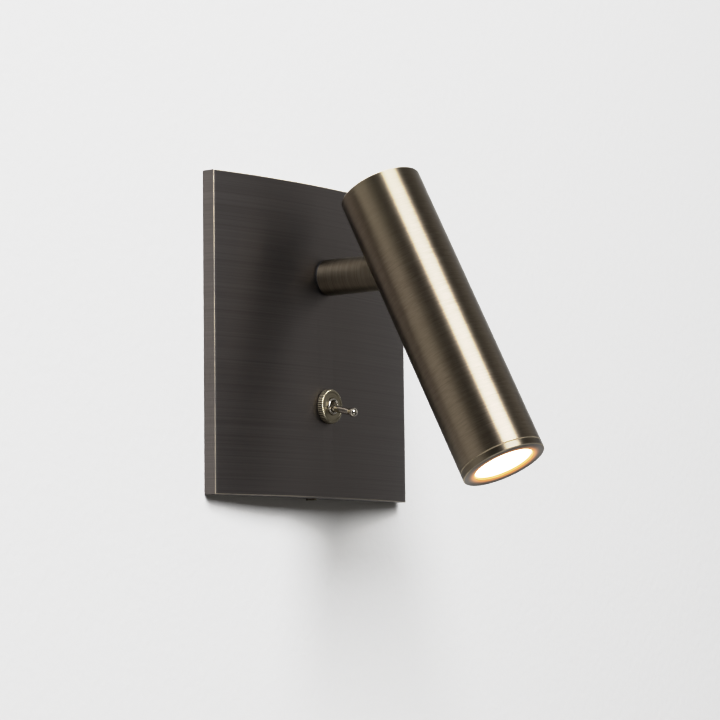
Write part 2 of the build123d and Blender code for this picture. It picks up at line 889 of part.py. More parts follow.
with BuildPart() as lens:
    with BuildSketch(head_wall_side()):
        with BuildLine():
            Polyline(
                (0, lens_rear + lens_pocket_depth),
                (lens_pocket_diameter / 2, lens_rear + lens_pocket_depth),
                (lens_pocket_diameter / 2, lens_rear),
                (lens_rear_diameter / 2, lens_rear),
                (lens_front_diameter / 2, lens_flange_rear),
                (lens_flange_diameter / 2, lens_flange_rear),
                (lens_flange_diameter / 2, holder_front),
                (0, holder_front),
                close=True,
            )
        make_face()
    revolve(axis=head_axis)

seal_middle = holder_front + seat_gap + seal_thickness / 2
window_rear = holder_front + seal_thickness + 2 * seat_gap
bezel_front = shell_front + bezel_length
bezel_lip_rear = bezel_front - bezel_lip
bezel_pocket = holder_diameter / 2 + insert_clearance

with BuildPart() as seal_ring:
    with BuildSketch(head_wall_side()):
        with Locations(((seal_diameter - seal_thickness) / 2, seal_middle)):
            Circle(seal_thickness / 2)
    revolve(axis=head_axis)

with BuildPart() as window:
    with BuildSketch(head_at(window_rear)):
        Circle(window_disc_diameter / 2)
    extrude(amount=window_disc_thickness)

with BuildPart() as front_bezel:
    with BuildSketch(head_wall_side()):
        with BuildLine():
            Polyline(
                (bezel_pocket, shell_front - bezel_spigot_length),
                (bezel_spigot_diameter / 2, shell_front - bezel_spigot_length),
                (bezel_spigot_diameter / 2, shell_front),
                (head_radius - seam_bevel, shell_front),
                (head_radius, shell_front + seam_bevel),
                (head_radius, bezel_front - rim_bevel),
                (head_radius - rim_bevel, bezel_front),
                (bezel_aperture / 2 + rim_bevel, bezel_front),
                (bezel_aperture / 2, bezel_front - rim_bevel),
                (bezel_aperture / 2, bezel_lip_rear),
                (bezel_pocket, bezel_lip_rear),
                close=True,
            )
        make_face()
    revolve(axis=head_axis)

with BuildPart() as head_lead:
    with BuildSketch(head_at(0)):
        Circle(core_lead_diameter / 2)
    extrude(amount=board_rear - hole_clearance)
    with Locations(pivot):
        Sphere(core_lead_diameter / 2)

# ---- Switch ----

bushing_front_depth = cover_crest_depth + bushing_stand
bushing_rear_depth = bushing_front_depth - bushing_length
switch_body_front = bushing_rear_depth - switch_frame_thickness
switch_body_rear = switch_body_front - switch_body_depth
lock_washer_depth = inner_depth(lock_washer_diameter / 2) - lock_washer_thickness
back_nut_depth = lock_washer_depth - seat_gap - back_nut_thickness
bushing_hole = bushing_diameter + 2 * thread_clearance

with BuildPart() as switch_bushing:
    add(
        ring(
            switch_at(bushing_rear_depth),
            bushing_diameter,
            bushing_bore_diameter,
            bushing_length,
        )
    )
    mouth_edges = switch_bushing.faces().sort_by(Axis.Y)[0].edges().sort_by(SortBy.LENGTH)
    chamfer(mouth_edges[0], bushing_mouth)

with BuildPart() as switch_lock_washer:
    add(
        ring(
            switch_at(lock_washer_depth),
            lock_washer_diameter,
            bushing_hole,
            lock_washer_thickness,
        )
    )

with BuildPart() as switch_back_nut:
    add(
        hexagon_nut(
            switch_at(back_nut_depth), back_nut_across_flats, bushing_hole, back_nut_thickness
        )
    )

dress_nut_radius = dress_nut_diameter / 2
nut_front = cover_crest_depth + dress_nut_thickness
switch_axis = Axis(origin=(0, 0, -switch_drop), direction=(0, -1, 0))
switch_section = Plane(origin=(0, 0, -switch_drop), x_dir=(1, 0, 0), z_dir=(0, 0, -1))
with BuildPart() as switch_dress_nut:
    with BuildSketch(switch_at(cover_crest_depth)):
        Circle(dress_nut_radius)
        Circle(bushing_hole / 2, mode=Mode.SUBTRACT)
        with PolarLocations(dress_nut_radius, knurl_count):
            Triangle(
                a=knurl_width,
                b=knurl_depth * 1.3,
                c=knurl_depth * 1.3,
                rotation=90,
                align=(Align.CENTER, Align.CENTER),
                mode=Mode.SUBTRACT,
            )
    extrude(amount=dress_nut_thickness)
    # Bevel round the front rim, cut as a cone
    with BuildSketch(switch_section):
        with BuildLine():
            Polyline(
                (dress_nut_radius - dress_nut_bevel, nut_front),
                (dress_nut_radius + dress_nut_bevel, nut_front),
                (dress_nut_radius + dress_nut_bevel, nut_front - 2 * dress_nut_bevel),
                close=True,
            )
        make_face()
    revolve(axis=switch_axis, mode=Mode.SUBTRACT)

switch_side = switch_body_height / 2
with BuildPart() as switch_frame:
    with BuildSketch(switch_at(switch_body_front)):
        Rectangle(switch_body_width, switch_body_height + 2 * switch_frame_thickness)
    extrude(amount=switch_frame_thickness)
    with BuildSketch(switch_at(switch_body_front)):
        leg_middle = switch_side + switch_frame_thickness / 2
        with Locations((0, leg_middle), (0, -leg_middle)):
            Rectangle(switch_body_width - 2 * switch_frame_thickness, switch_frame_thickness)
    extrude(amount=-switch_frame_leg)

with BuildPart() as switch_body:
    with BuildSketch(switch_at(switch_body_rear)):
        Rectangle(switch_body_width, switch_body_height)
    extrude(amount=switch_body_depth)

tag_rises = [0.0, tag_pitch]
with BuildPart() as switch_terminals:
    with BuildSketch(switch_at(switch_body_rear)):
        with Locations(*[(0, rise) for rise in tag_rises]):
            Rectangle(tag_width, tag_thickness)
    extrude(amount=-tag_length)

lever_pivot = Vector(0, -lever_pivot_depth, -switch_drop)
lever_direction = Vector(0, -cos(radians(lever_angle)), -sin(radians(lever_angle)))


def lever_at(place):
    """Plane square to the lever at a distance out from its pivot."""
    start = lever_pivot + lever_direction * place
    return Plane(origin=start, x_dir=(1, 0, 0), z_dir=lever_direction)


with BuildPart() as switch_lever:
    with BuildSketch(lever_at(0)):
        Circle(lever_diameter / 2)
    extrude(amount=lever_length)
    with BuildSketch(lever_at(0)):
        Circle(lever_tail_diameter / 2)
    extrude(amount=-lever_tail_length)
    with Locations(lever_pivot):
        Sphere(lever_ball_diameter / 2)
    with Locations(lever_pivot + lever_direction * lever_length):
        Sphere(lever_tip_diameter / 2)

# ---- Driver ----

driver_inner_length = driver_length - 2 * driver_wall
driver_inner_height = driver_height - 2 * driver_wall
lid_rear_depth = -driver_depth
case_rear_depth = lid_rear_depth + driver_wall
circuit_front_depth = -driver_wall - driver_boss_length
circuit_rear_depth = circuit_front_depth - circuit_thickness
driver_screw_places = [(-driver_screw_spacing / 2, 0), (driver_screw_spacing / 2, 0)]
entry_plane = Plane.XY.offset(-driver_height / 2)
output_hole = core_lead_diameter / 2 + lead_clearance
single_hole = single_lead_diameter / 2 + lead_clearance

with BuildPart() as driver_case:
    with BuildSketch(wall_at(0)):
        Rectangle(driver_length, driver_height)
    extrude(amount=case_rear_depth)
    with BuildSketch(wall_at(-driver_wall)):
        Rectangle(driver_inner_length, driver_inner_height)
    extrude(amount=case_rear_depth, mode=Mode.SUBTRACT)
    with BuildSketch(wall_at(-driver_wall)):
        with Locations(*driver_screw_places):
            Circle(driver_boss_diameter / 2)
    extrude(amount=-driver_boss_length)
    with BuildSketch(wall_at(0)):
        with Locations(*driver_screw_places):
            Circle(driver_screw_diameter / 2)
    extrude(amount=-(driver_screw_reach + driver_wall), mode=Mode.SUBTRACT)
    # Holes for the leads: two in the top wall and one in the bottom wall
    with BuildSketch(Plane.XY.offset(driver_height / 2)):
        with Locations((output_entry, lead_entry_depth)):
            Circle(output_hole)
        with Locations((neutral_entry, lead_entry_depth)):
            Circle(single_hole)
    extrude(amount=-driver_wall, mode=Mode.SUBTRACT)
    with BuildSketch(entry_plane):
        with Locations((live_entry, lead_entry_depth)):
            Circle(single_hole)
    extrude(amount=driver_wall, mode=Mode.SUBTRACT)

with BuildPart() as driver_lid:
    with BuildSketch(wall_at(lid_rear_depth)):
        Rectangle(driver_length, driver_height)
    extrude(amount=driver_wall)
    with BuildSketch(wall_at(case_rear_depth)):
        lip_length = driver_inner_length - 2 * hole_clearance
        lip_height = driver_inner_height - 2 * hole_clearance
        Rectangle(lip_length, lip_height)
        Rectangle(
            lip_length - 2 * lid_lip_wall, lip_height - 2 * lid_lip_wall, mode=Mode.SUBTRACT
        )
    extrude(amount=lid_lip)

with BuildPart() as driver_board:
    with BuildSketch(wall_at(circuit_front_depth)):
        Rectangle(
            driver_inner_length - 2 * hole_clearance, driver_inner_height - 2 * hole_clearance
        )
    extrude(amount=-circuit_thickness)
    with BuildSketch(wall_at(circuit_rear_depth)):
        with Locations((transformer_place, 0)):
            Rectangle(transformer_length, transformer_width)
    extrude(amount=-transformer_height)
    with BuildSketch(wall_at(circuit_rear_depth)):
        with Locations((-capacitor_place, 0), (capacitor_place, 0)):
            Circle(capacitor_diameter / 2)
    extrude(amount=-capacitor_height)

with BuildPart() as driver_screws:
    for across, up in driver_screw_places:
        seat_origin = wall_at(bracket_thickness).from_local_coords((across, up, 0))
        add(
            slotted_screw(
                Plane(origin=seat_origin, x_dir=(1, 0, 0), z_dir=(0, -1, 0)),
                driver_screw_diameter,
                bracket_thickness + driver_screw_reach,
                driver_screw_head_diameter,
                driver_screw_head_height,
            )
        )

# ---- Terminal block ----

pole_heights = [block_z + (pole - (pole_count - 1) / 2) * pole_pitch for pole in range(pole_count)]
clamp_screw_places = [
    (block_x + side * clamp_screw_spacing / 2, height)
    for height in pole_heights
    for side in (-1, 1)
]
clamp_plane = Plane(
    origin=(block_x - clamp_length / 2, pole_depth, 0), x_dir=(0, 1, 0), z_dir=(1, 0, 0)
)
channel_plane = clamp_plane.offset(-(block_width - clamp_length) / 2)
clamp_channel = clamp_size + hole_clearance
clamp_rear_depth = -pole_depth - clamp_size / 2

with BuildPart() as terminal_block:
    with BuildSketch(wall_at(0)):
        with Locations((block_x, block_z)):
            Rectangle(block_width, block_height)
    extrude(amount=-block_depth)
    with BuildSketch(channel_plane):
        with Locations(*[(0, height) for height in pole_heights]):
            Rectangle(clamp_channel, clamp_channel)
    extrude(amount=block_width, mode=Mode.SUBTRACT)
    with BuildSketch(wall_at(-block_depth)):
        with Locations(*clamp_screw_places):
            Circle(clamp_screw_diameter / 2 + lead_clearance)
    extrude(amount=block_depth - pole_depth, mode=Mode.SUBTRACT)
    with BuildSketch(wall_at(0)):
        with Locations((block_x, block_screw_z)):
            Circle(block_screw_diameter / 2)
    extrude(amount=-block_screw_reach, mode=Mode.SUBTRACT)

with BuildPart() as terminal_clamps:
    with BuildSketch(clamp_plane):
        with Locations(*[(0, height) for height in pole_heights]):
            Rectangle(clamp_size, clamp_size)
            Circle(clamp_bore_diameter / 2, mode=Mode.SUBTRACT)
    extrude(amount=clamp_length)
    with BuildSketch(wall_at(clamp_rear_depth)):
        with Locations(*clamp_screw_places):
            Circle(clamp_screw_diameter / 2)
    extrude(amount=clamp_size / 2, mode=Mode.SUBTRACT)

with BuildPart() as terminal_screws:
    with BuildSketch(wall_at(-pole_depth - single_lead_diameter / 2)):
        with Locations(*clamp_screw_places):
            Circle(clamp_screw_diameter / 2 - thread_clearance)
    extrude(amount=-clamp_screw_length)
    with BuildSketch(wall_at(-pole_depth - single_lead_diameter / 2 - clamp_screw_length)):
        with Locations(*clamp_screw_places):
            Rectangle(driver_slot_width, 2 * clamp_screw_diameter)
    extrude(amount=driver_slot_depth, mode=Mode.SUBTRACT)

with BuildPart() as terminal_fixing_screw:
    seat_origin = wall_at(bracket_thickness).from_local_coords((block_x, block_screw_z, 0))
    add(
        slotted_screw(
            Plane(origin=seat_origin, x_dir=(1, 0, 0), z_dir=(0, -1, 0)),
            block_screw_diameter,
            bracket_thickness + block_screw_reach - hole_clearance,
            block_screw_head_diameter,
            block_screw_head_height,
        )
    )

# ---- Earth ----


def earth_at(depth):
    """Plane along the wall that faces the room, centred on the earth stud."""
    return Plane(origin=(earth_x, -depth, earth_z), x_dir=(1, 0, 0), z_dir=(0, -1, 0))


lug_depth = bracket_thickness + seat_gap
earth_washer_depth = lug_depth + lug_thickness + seat_gap
earth_nut_depth = earth_washer_depth + earth_washer_thickness + seat_gap
earth_hole = earth_stud_diameter + 2 * thread_clearance
lug_direction = Vector(cos(radians(lug_angle)), 0, sin(radians(lug_angle)))
barrel_depth = lug_depth + lug_barrel_diameter / 2

with BuildPart() as earth_stud:
    with BuildSketch(earth_at(0)):
        Circle(earth_stud_diameter / 2)
    extrude(amount=earth_stud_length)
    with BuildSketch(earth_at(0)):
        Circle(earth_flange_diameter / 2)
    extrude(amount=-earth_flange_thickness)

with BuildPart() as earth_washer:
    add(
        ring(
            earth_at(earth_washer_depth),
            earth_washer_diameter,
            earth_hole,
            earth_washer_thickness,
        )
    )

with BuildPart() as earth_nut:
    add(
        hexagon_nut(
            earth_at(earth_nut_depth), earth_nut_across_flats, earth_hole, earth_nut_thickness
        )
    )

with BuildPart() as earth_lug:
    with BuildSketch(earth_at(lug_depth)):
        Circle(lug_diameter / 2)
        with Locations(Location((0, 0), lug_angle)):
            Rectangle(lug_barrel_end, lug_tongue_width, align=(Align.MIN, Align.CENTER))
        Circle(earth_hole / 2, mode=Mode.SUBTRACT)
    extrude(amount=lug_thickness)
    barrel_start = Vector(earth_x, -barrel_depth, earth_z) + lug_direction * lug_barrel_start
    with BuildSketch(Plane(origin=barrel_start, z_dir=lug_direction)):
        Circle(lug_barrel_diameter / 2)
    extrude(amount=lug_barrel_end - lug_barrel_start)
    with BuildSketch(Plane(origin=barrel_start, z_dir=lug_direction)):
        Circle(single_lead_diameter / 2 + thread_clearance)
    extrude(amount=lug_barrel_end - lug_barrel_start, mode=Mode.SUBTRACT)

# ---- Leads inside the base ----

block_entry_x = block_x + block_width / 2 - lead_insertion
driver_entry_z = driver_height / 2 - lead_entry_inset
barrel_end = Vector(earth_x, -barrel_depth, earth_z) + lug_direction * lug_barrel_end
lead_start = barrel_end - lug_direction * lead_insertion
tag_rear = tag_length - switch_body_rear + lead_clearance

with BuildPart() as earth_lead:
    add(
        lead(
            [
                tuple(lead_start),
                tuple(barrel_end + lug_direction * lug_lead_run),
                *earth_lead_bends,
                (block_entry_x, pole_depth, pole_heights[2]),
            ],
            single_lead_diameter,
            "earth_lead",
        )
    )

with BuildPart() as neutral_lead:
    add(
        lead(
            [
                (block_entry_x, pole_depth, pole_heights[0]),
                *neutral_lead_bends,
                (neutral_entry, lead_entry_depth, driver_entry_z),
            ],
            single_lead_diameter,
            "neutral_lead",
        )
    )

with BuildPart() as switch_leads:
    add(
        lead(
            [
                (block_entry_x, pole_depth, pole_heights[1]),
                *live_lead_bends,
                (0.0, tag_rear, -switch_drop + tag_pitch),
            ],
            single_lead_diameter,
            "switch_leads, live",
        )
    )
    add(
        lead(
            [
                (0.0, tag_rear, -switch_drop),
                *switched_lead_bends,
                (live_entry, lead_entry_depth, -driver_entry_z),
            ],
            single_lead_diameter,
            "switch_leads, switched",
        )
    )

with BuildPart() as driver_output_lead:
    add(
        lead(
            [
                (0.0, -nipple_rear_depth + lead_clearance, arm_height),
                *output_lead_bends,
                (output_entry, lead_entry_depth, driver_entry_z),
            ],
            core_lead_diameter,
            "driver_output_lead",
        )
    )

# ---- Writing ----

pieces = {
    "front_cover": front_cover,
    "cover_screw": cover_screw,
    "mounting_bracket": mounting_bracket,
    "swivel_bush": swivel_bush,
    "swivel_stop_pin": swivel_stop_pin,
    "switch_body": switch_body,
    "switch_frame": switch_frame,
    "switch_bushing": switch_bushing,
    "switch_lock_washer": switch_lock_washer,
    "switch_back_nut": switch_back_nut,
    "switch_dress_nut": switch_dress_nut,
    "switch_terminals": switch_terminals,
    "switch_lever": switch_lever,
    "driver_case": driver_case,
    "driver_lid": driver_lid,
    "driver_board": driver_board,
    "driver_screws": driver_screws,
    "terminal_block": terminal_block,
    "terminal_clamps": terminal_clamps,
    "terminal_screws": terminal_screws,
    "terminal_fixing_screw": terminal_fixing_screw,
    "earth_stud": earth_stud,
    "earth_washer": earth_washer,
    "earth_nut": earth_nut,
    "earth_lug": earth_lug,
    "earth_lead": earth_lead,
    "neutral_lead": neutral_lead,
    "switch_leads": switch_leads,
    "driver_output_lead": driver_output_lead,
    "arm_tube": arm_tube,
    "arm_nipple": arm_nipple,
    "stop_washer": stop_washer,
    "wave_washer": wave_washer,
    "arm_lock_nut": arm_lock_nut,
    "arm_lead": arm_lead,
    "pivot_screws": pivot_screws,
    "tilt_washers": tilt_washers,
    "tilt_spring_washers": tilt_spring_washers,
    "head_shell": head_shell,
    "rear_cap": rear_cap,
    "rear_cap_screws": rear_cap_screws,
    "hinge_core": hinge_core,
    "core_screws": core_screws,
    "shell_grub_screw": shell_grub_screw,
    "heat_sink": heat_sink,
    "thermal_pad": thermal_pad,
    "led_board": led_board,
    "led_emitter": led_emitter,
    "lens_holder": lens_holder,
    "lens": lens,
    "seal_ring": seal_ring,
    "window": window,
    "front_bezel": front_bezel,
    "head_lead": head_lead,
}

os.makedirs("parts", exist_ok=True)
for name, piece in pieces.items():
    piece.part.label = name
    export_step(piece.part, f"parts/{name}.step")
print(len(pieces), "pieces written")
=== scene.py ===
import json
import math

import bpy
from mathutils import Matrix, Vector


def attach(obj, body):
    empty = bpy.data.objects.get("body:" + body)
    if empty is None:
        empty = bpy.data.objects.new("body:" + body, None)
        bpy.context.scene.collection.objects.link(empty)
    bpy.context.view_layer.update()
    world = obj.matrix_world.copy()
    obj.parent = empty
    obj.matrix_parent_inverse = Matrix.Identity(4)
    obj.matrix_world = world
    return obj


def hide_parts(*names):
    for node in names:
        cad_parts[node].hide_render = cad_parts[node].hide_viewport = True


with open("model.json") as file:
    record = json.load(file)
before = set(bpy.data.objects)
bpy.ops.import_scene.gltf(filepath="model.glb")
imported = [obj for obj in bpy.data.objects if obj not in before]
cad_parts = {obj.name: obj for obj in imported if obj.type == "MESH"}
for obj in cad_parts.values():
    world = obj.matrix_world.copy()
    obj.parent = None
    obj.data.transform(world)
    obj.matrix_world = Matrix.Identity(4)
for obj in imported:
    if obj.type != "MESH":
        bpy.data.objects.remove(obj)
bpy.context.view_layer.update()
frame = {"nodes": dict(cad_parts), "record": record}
nodes = frame["nodes"]
mm = 0.001
print("frame loaded")

# Places of the real parts, in millimetres from the wall or from the head's pivot
place = {
    "armHeight": 24.65,
    "switchDrop": 25.1,
    "pivotDepth": 53.55,
    "restAngle": 63.2,
    "sideDepth": 5.0,
    "bulge": 6.45,
}
place["crestDepth"] = place["sideDepth"] + place["bulge"]
pivot = Vector((0, -place["pivotDepth"], place["armHeight"])) * mm
restTurn = math.radians(place["restAngle"])
headDirection = Vector((0, -math.cos(restTurn), -math.sin(restTurn)))
headRoomSide = headDirection.cross(Vector((1, 0, 0)))
headTurn = math.atan2(headRoomSide.z, headRoomSide.y)


def frameAt(origin, across, up):
    columns = Matrix((across, up, across.cross(up))).transposed().to_4x4()
    return Matrix.Translation(origin) @ columns


right, upward = Vector((1, 0, 0)), Vector((0, 0, 1))
headFrame = frameAt(pivot, right, headRoomSide)
armFrame = frameAt(Vector((0, 0, place["armHeight"])) * mm, right, upward)
switchFrame = frameAt(Vector((0, 0, -place["switchDrop"])) * mm, right, upward)


# Camera at the photo's angle
cameraSettings = {
    "lens": 127.23,
    "azimuth": -53.701,
    "elevation": -5.511,
    "roll": -0.658,
    "distance": 1014.772,
    "target": (36.861, 0.0, -3.696),
}


def placeCamera(settings):
    azimuth = math.radians(settings["azimuth"])
    elevation = math.radians(settings["elevation"])
    roll = math.radians(settings["roll"])
    level = math.cos(elevation)
    back = Vector((math.sin(azimuth) * level, -math.cos(azimuth) * level, math.sin(elevation)))
    side = (-back).cross(upward).normalized()
    top = side.cross(-back)
    rolledSide = side * math.cos(roll) + top * math.sin(roll)
    rolledTop = top * math.cos(roll) - side * math.sin(roll)
    turn = Matrix((rolledSide, rolledTop, back)).transposed().to_4x4()
    spot = (Vector(settings["target"]) + back * settings["distance"]) * mm
    bpy.ops.object.camera_add()
    camera = bpy.context.object
    camera.name = "photoCamera"
    camera.matrix_world = Matrix.Translation(spot) @ turn
    camera.data.lens = settings["lens"]
    camera.data.sensor_width = 36.0
    camera.data.clip_start = 0.01
    camera.data.clip_end = 50.0
    bpy.context.scene.camera = camera


placeCamera(cameraSettings)
print("camera placed")


# Modelling helpers
def deselectAll():
    if bpy.context.object and bpy.context.object.mode != "OBJECT":
        bpy.ops.object.mode_set(mode="OBJECT")
    bpy.ops.object.select_all(action="DESELECT")


def makeActive(piece):
    deselectAll()
    piece.select_set(True)
    bpy.context.view_layer.objects.active = piece


def editing(piece):
    makeActive(piece)
    bpy.ops.object.mode_set(mode="EDIT")
    bpy.ops.mesh.select_all(action="SELECT")


def doneEditing():
    bpy.ops.object.mode_set(mode="OBJECT")


def pick(piece, kind, test):
    # Picks the faces, edges or corners whose middle passes the test
    makeActive(piece)
    bpy.ops.object.mode_set(mode="EDIT")
    bpy.ops.mesh.select_mode(type=kind)
    bpy.ops.mesh.select_all(action="DESELECT")
    bpy.ops.object.mode_set(mode="OBJECT")
    mesh = piece.data
    if kind == "FACE":
        for polygon in mesh.polygons:
            polygon.select = test(polygon.center / mm, polygon.normal)
    elif kind == "EDGE":
        for edge in mesh.edges:
            first, second = (mesh.vertices[index].co for index in edge.vertices)
            edge.select = test((first + second) / 2 / mm, second - first)
    else:
        for vertex in mesh.vertices:
            vertex.select = test(vertex.co / mm, vertex.normal)
    bpy.ops.object.mode_set(mode="EDIT")


def applyModifier(piece, kind, **settings):
    makeActive(piece)
    bpy.ops.object.modifier_add(type=kind)
    modifier = piece.modifiers[-1]
    for name, value in settings.items():
        setattr(modifier, name, value)
    bpy.ops.object.modifier_apply(modifier=modifier.name)


def freeze(piece):
    # Writes the piece's place, turn and size into its mesh
    makeActive(piece)
    bpy.ops.object.transform_apply(location=True, rotation=True, scale=True)


def closeMesh(piece):
    editing(piece)
    bpy.ops.mesh.remove_doubles(threshold=0.001 * mm)
    bpy.ops.mesh.normals_make_consistent(inside=False)
    doneEditing()


def smoothPiece(piece, angle=30):
    makeActive(piece)
    bpy.ops.object.shade_smooth_by_angle(angle=math.radians(angle))


def setDown(piece, matrix):
    piece.matrix_world = matrix @ piece.matrix_world
    freeze(piece)


def turnedPiece(name, outline, steps, closed=True):
    # Spins an outline of radius and height, in millimetres, about the upright axis
    deselectAll()
    bpy.ops.mesh.primitive_plane_add(size=mm)
    piece = bpy.context.object
    piece.name = name
    piece.data.name = name
    editing(piece)
    bpy.ops.mesh.select_mode(type="VERT")
    bpy.ops.mesh.merge(type="CENTER")
    start = Vector((outline[0][0], 0, outline[0][1])) * mm
    bpy.ops.transform.translate(value=start)
    loop = list(outline) + ([outline[0]] if closed else [])
    for before, after in zip(loop, loop[1:]):
        step = (Vector((after[0], 0, after[1])) - Vector((before[0], 0, before[1]))) * mm
        bpy.ops.mesh.extrude_vertices_move(TRANSFORM_OT_translate={"value": step})
    bpy.ops.mesh.select_all(action="SELECT")
    bpy.ops.mesh.remove_doubles(threshold=0.001 * mm)
    bpy.ops.mesh.spin(
        steps=steps, angle=2 * math.pi, center=(0, 0, 0), axis=(0, 0, 1), use_auto_merge=True
    )
    doneEditing()
    closeMesh(piece)
    return piece


def cutterDrum(middle, radius, length, axis="Z", sides=96):
    turns = {"X": (0, math.pi / 2, 0), "Y": (math.pi / 2, 0, 0), "Z": (0, 0, 0)}
    deselectAll()
    bpy.ops.mesh.primitive_cylinder_add(
        vertices=sides,
        radius=radius * mm,
        depth=length * mm,
        location=Vector(middle) * mm,
        rotation=turns[axis],
    )
    return bpy.context.object


def cutterBlock(low, high):
    low, high = Vector(low) * mm, Vector(high) * mm
    deselectAll()
    bpy.ops.mesh.primitive_cube_add(size=1, location=(low + high) / 2, scale=high - low)
    return bpy.context.object


def cutterSlot(middle, radius, length, axis, reach):
    # A drum whose lower half is drawn out downwards, round at its upper end only
    slot = cutterDrum(middle, radius, length, axis)
    freeze(slot)
    editing(slot)
    bpy.ops.mesh.bisect(
        plane_co=Vector(middle) * mm, plane_no=(0, 0, -1), use_fill=True, clear_outer=True
    )
    doneEditing()
    pick(slot, "FACE", lambda point, normal: normal.z < -0.99)
    bpy.ops.mesh.extrude_region_move(TRANSFORM_OT_translate={"value": (0, 0, -reach * mm)})
    doneEditing()
    return slot


def combine(piece, tool, operation="DIFFERENCE"):
    freeze(tool)
    applyModifier(piece, "BOOLEAN", object=tool, operation=operation, solver="EXACT")
    bpy.data.objects.remove(tool)


def faceFinish(piece, test, slot=1):
    # Faces that pass the test take the piece's second material, or the one in another slot
    for polygon in piece.data.polygons:
        if test(polygon.center / mm, polygon.normal):
            polygon.material_index = slot


def radiusOf(point):
    return math.hypot(point.x, point.y)


# Node helpers
def addNode(tree, kind, inputs=None, **settings):
    node = tree.nodes.new(kind)
    for name, value in settings.items():
        setattr(node, name, value)
    for name, value in (inputs or {}).items():
        node.inputs[name].default_value = value
    return node


def newGroup(name, inputs, outputs):
    tree = bpy.data.node_groups.new(name, "ShaderNodeTree")
    for label, kind, value in inputs:
        socket = tree.interface.new_socket(label, in_out="INPUT", socket_type=kind)
        if value is not None:
            socket.default_value = value
    for label, kind in outputs:
        tree.interface.new_socket(label, in_out="OUTPUT", socket_type=kind)
    return tree, tree.nodes.new("NodeGroupInput"), tree.nodes.new("NodeGroupOutput")


def feed(tree, socket, value):
    # Gives a socket a link, a colour or a plain value
    if isinstance(value, bpy.types.NodeSocket):
        tree.links.new(value, socket)
    elif socket.type == "RGBA":
        socket.default_value = (*value, 1.0)
    else:
        socket.default_value = value


def mathNode(tree, operation, *values, kind="ShaderNodeMath"):
    node = addNode(tree, kind, operation=operation)
    for socket, value in zip(node.inputs, values):
        feed(tree, socket, value)
    return node.outputs[0]


def vectorMath(tree, operation, *values):
    return mathNode(tree, operation, *values, kind="ShaderNodeVectorMath")


def axisDistance(tree, parts):
    # How far the separated coordinates lie from their upright axis
    squares = [mathNode(tree, "MULTIPLY", parts.outputs[i], parts.outputs[i]) for i in (0, 1)]
    return mathNode(tree, "SQRT", mathNode(tree, "ADD", *squares))


floatSocket, vectorSocket = "NodeSocketFloat", "NodeSocketVector"


# Fine brushing: lines that change fast across one direction and slowly along the others
def makeBrushGroup():
    tree, entry, leave = newGroup(
        "brushLines",
        [
            ("Vector", vectorSocket, None),
            ("Fine", vectorSocket, None),
            ("Broad", vectorSocket, None),
            ("Low", floatSocket, 0.28),
            ("High", floatSocket, 0.38),
        ],
        [("Shade", floatSocket), ("Roughness", floatSocket), ("Height", floatSocket)],
    )
    values = []
    for label, detail in (("Fine", 2.0), ("Broad", 3.0)):
        stretched = vectorMath(tree, "MULTIPLY", entry.outputs["Vector"], entry.outputs[label])
        noise = addNode(tree, "ShaderNodeTexNoise", {"Scale": 1.0, "Detail": detail})
        tree.links.new(stretched, noise.inputs["Vector"])
        values.append(noise.outputs[0])
    shares = [mathNode(tree, "MULTIPLY", value, share) for value, share in zip(values, (0.6, 0.4))]
    mixed = mathNode(tree, "ADD", *shares)
    spread = addNode(tree, "ShaderNodeMapRange", {"From Min": 0.36, "From Max": 0.64})
    tree.links.new(mixed, spread.inputs["Value"])
    tree.links.new(spread.outputs[0], leave.inputs["Shade"])
    tree.links.new(values[0], leave.inputs["Height"])
    rough = addNode(tree, "ShaderNodeMapRange", {"From Min": 0.3, "From Max": 0.7})
    tree.links.new(mixed, rough.inputs["Value"])
    tree.links.new(entry.outputs["Low"], rough.inputs["To Min"])
    tree.links.new(entry.outputs["High"], rough.inputs["To Max"])
    tree.links.new(rough.outputs[0], leave.inputs["Roughness"])
    return tree


# Turned parts: the lines run round the axis on the sides and on the flat ends alike
def makeTurnedGroup():
    tree, entry, leave = newGroup(
        "turnedCoordinates", [("Vector", vectorSocket, None)], [("Vector", vectorSocket)]
    )
    parts = addNode(tree, "ShaderNodeSeparateXYZ")
    tree.links.new(entry.outputs[0], parts.inputs[0])
    across = mathNode(tree, "ADD", axisDistance(tree, parts), parts.outputs[2])
    joined = addNode(tree, "ShaderNodeCombineXYZ")
    tree.links.new(parts.outputs[0], joined.inputs[0])
    tree.links.new(parts.outputs[1], joined.inputs[1])
    tree.links.new(across, joined.inputs[2])
    tree.links.new(joined.outputs[0], leave.inputs[0])
    return tree


# Broken patches for rubbed edges, painted highlight lines on top bevels, dust and cast or moulded
# grain
def makePatchGroup():
    tree, entry, leave = newGroup(
        "patches",
        [
            ("Vector", vectorSocket, None),
            ("Scale", floatSocket, 200.0),
            ("Start", floatSocket, 0.4),
            ("End", floatSocket, 0.6),
        ],
        [("Amount", floatSocket), ("Height", floatSocket)],
    )
    noise = addNode(tree, "ShaderNodeTexNoise", {"Detail": 4.0, "Roughness": 0.6})
    tree.links.new(entry.outputs["Vector"], noise.inputs["Vector"])
    tree.links.new(entry.outputs["Scale"], noise.inputs["Scale"])
    spread = addNode(tree, "ShaderNodeMapRange", interpolation_type="SMOOTHSTEP")
    tree.links.new(noise.outputs[0], spread.inputs["Value"])
    tree.links.new(entry.outputs["Start"], spread.inputs["From Min"])
    tree.links.new(entry.outputs["End"], spread.inputs["From Max"])
    tree.links.new(spread.outputs[0], leave.inputs["Amount"])
    tree.links.new(noise.outputs[0], leave.inputs["Height"])
    return tree


brushLines = makeBrushGroup()
turnedCoordinates = makeTurnedGroup()
patches = makePatchGroup()


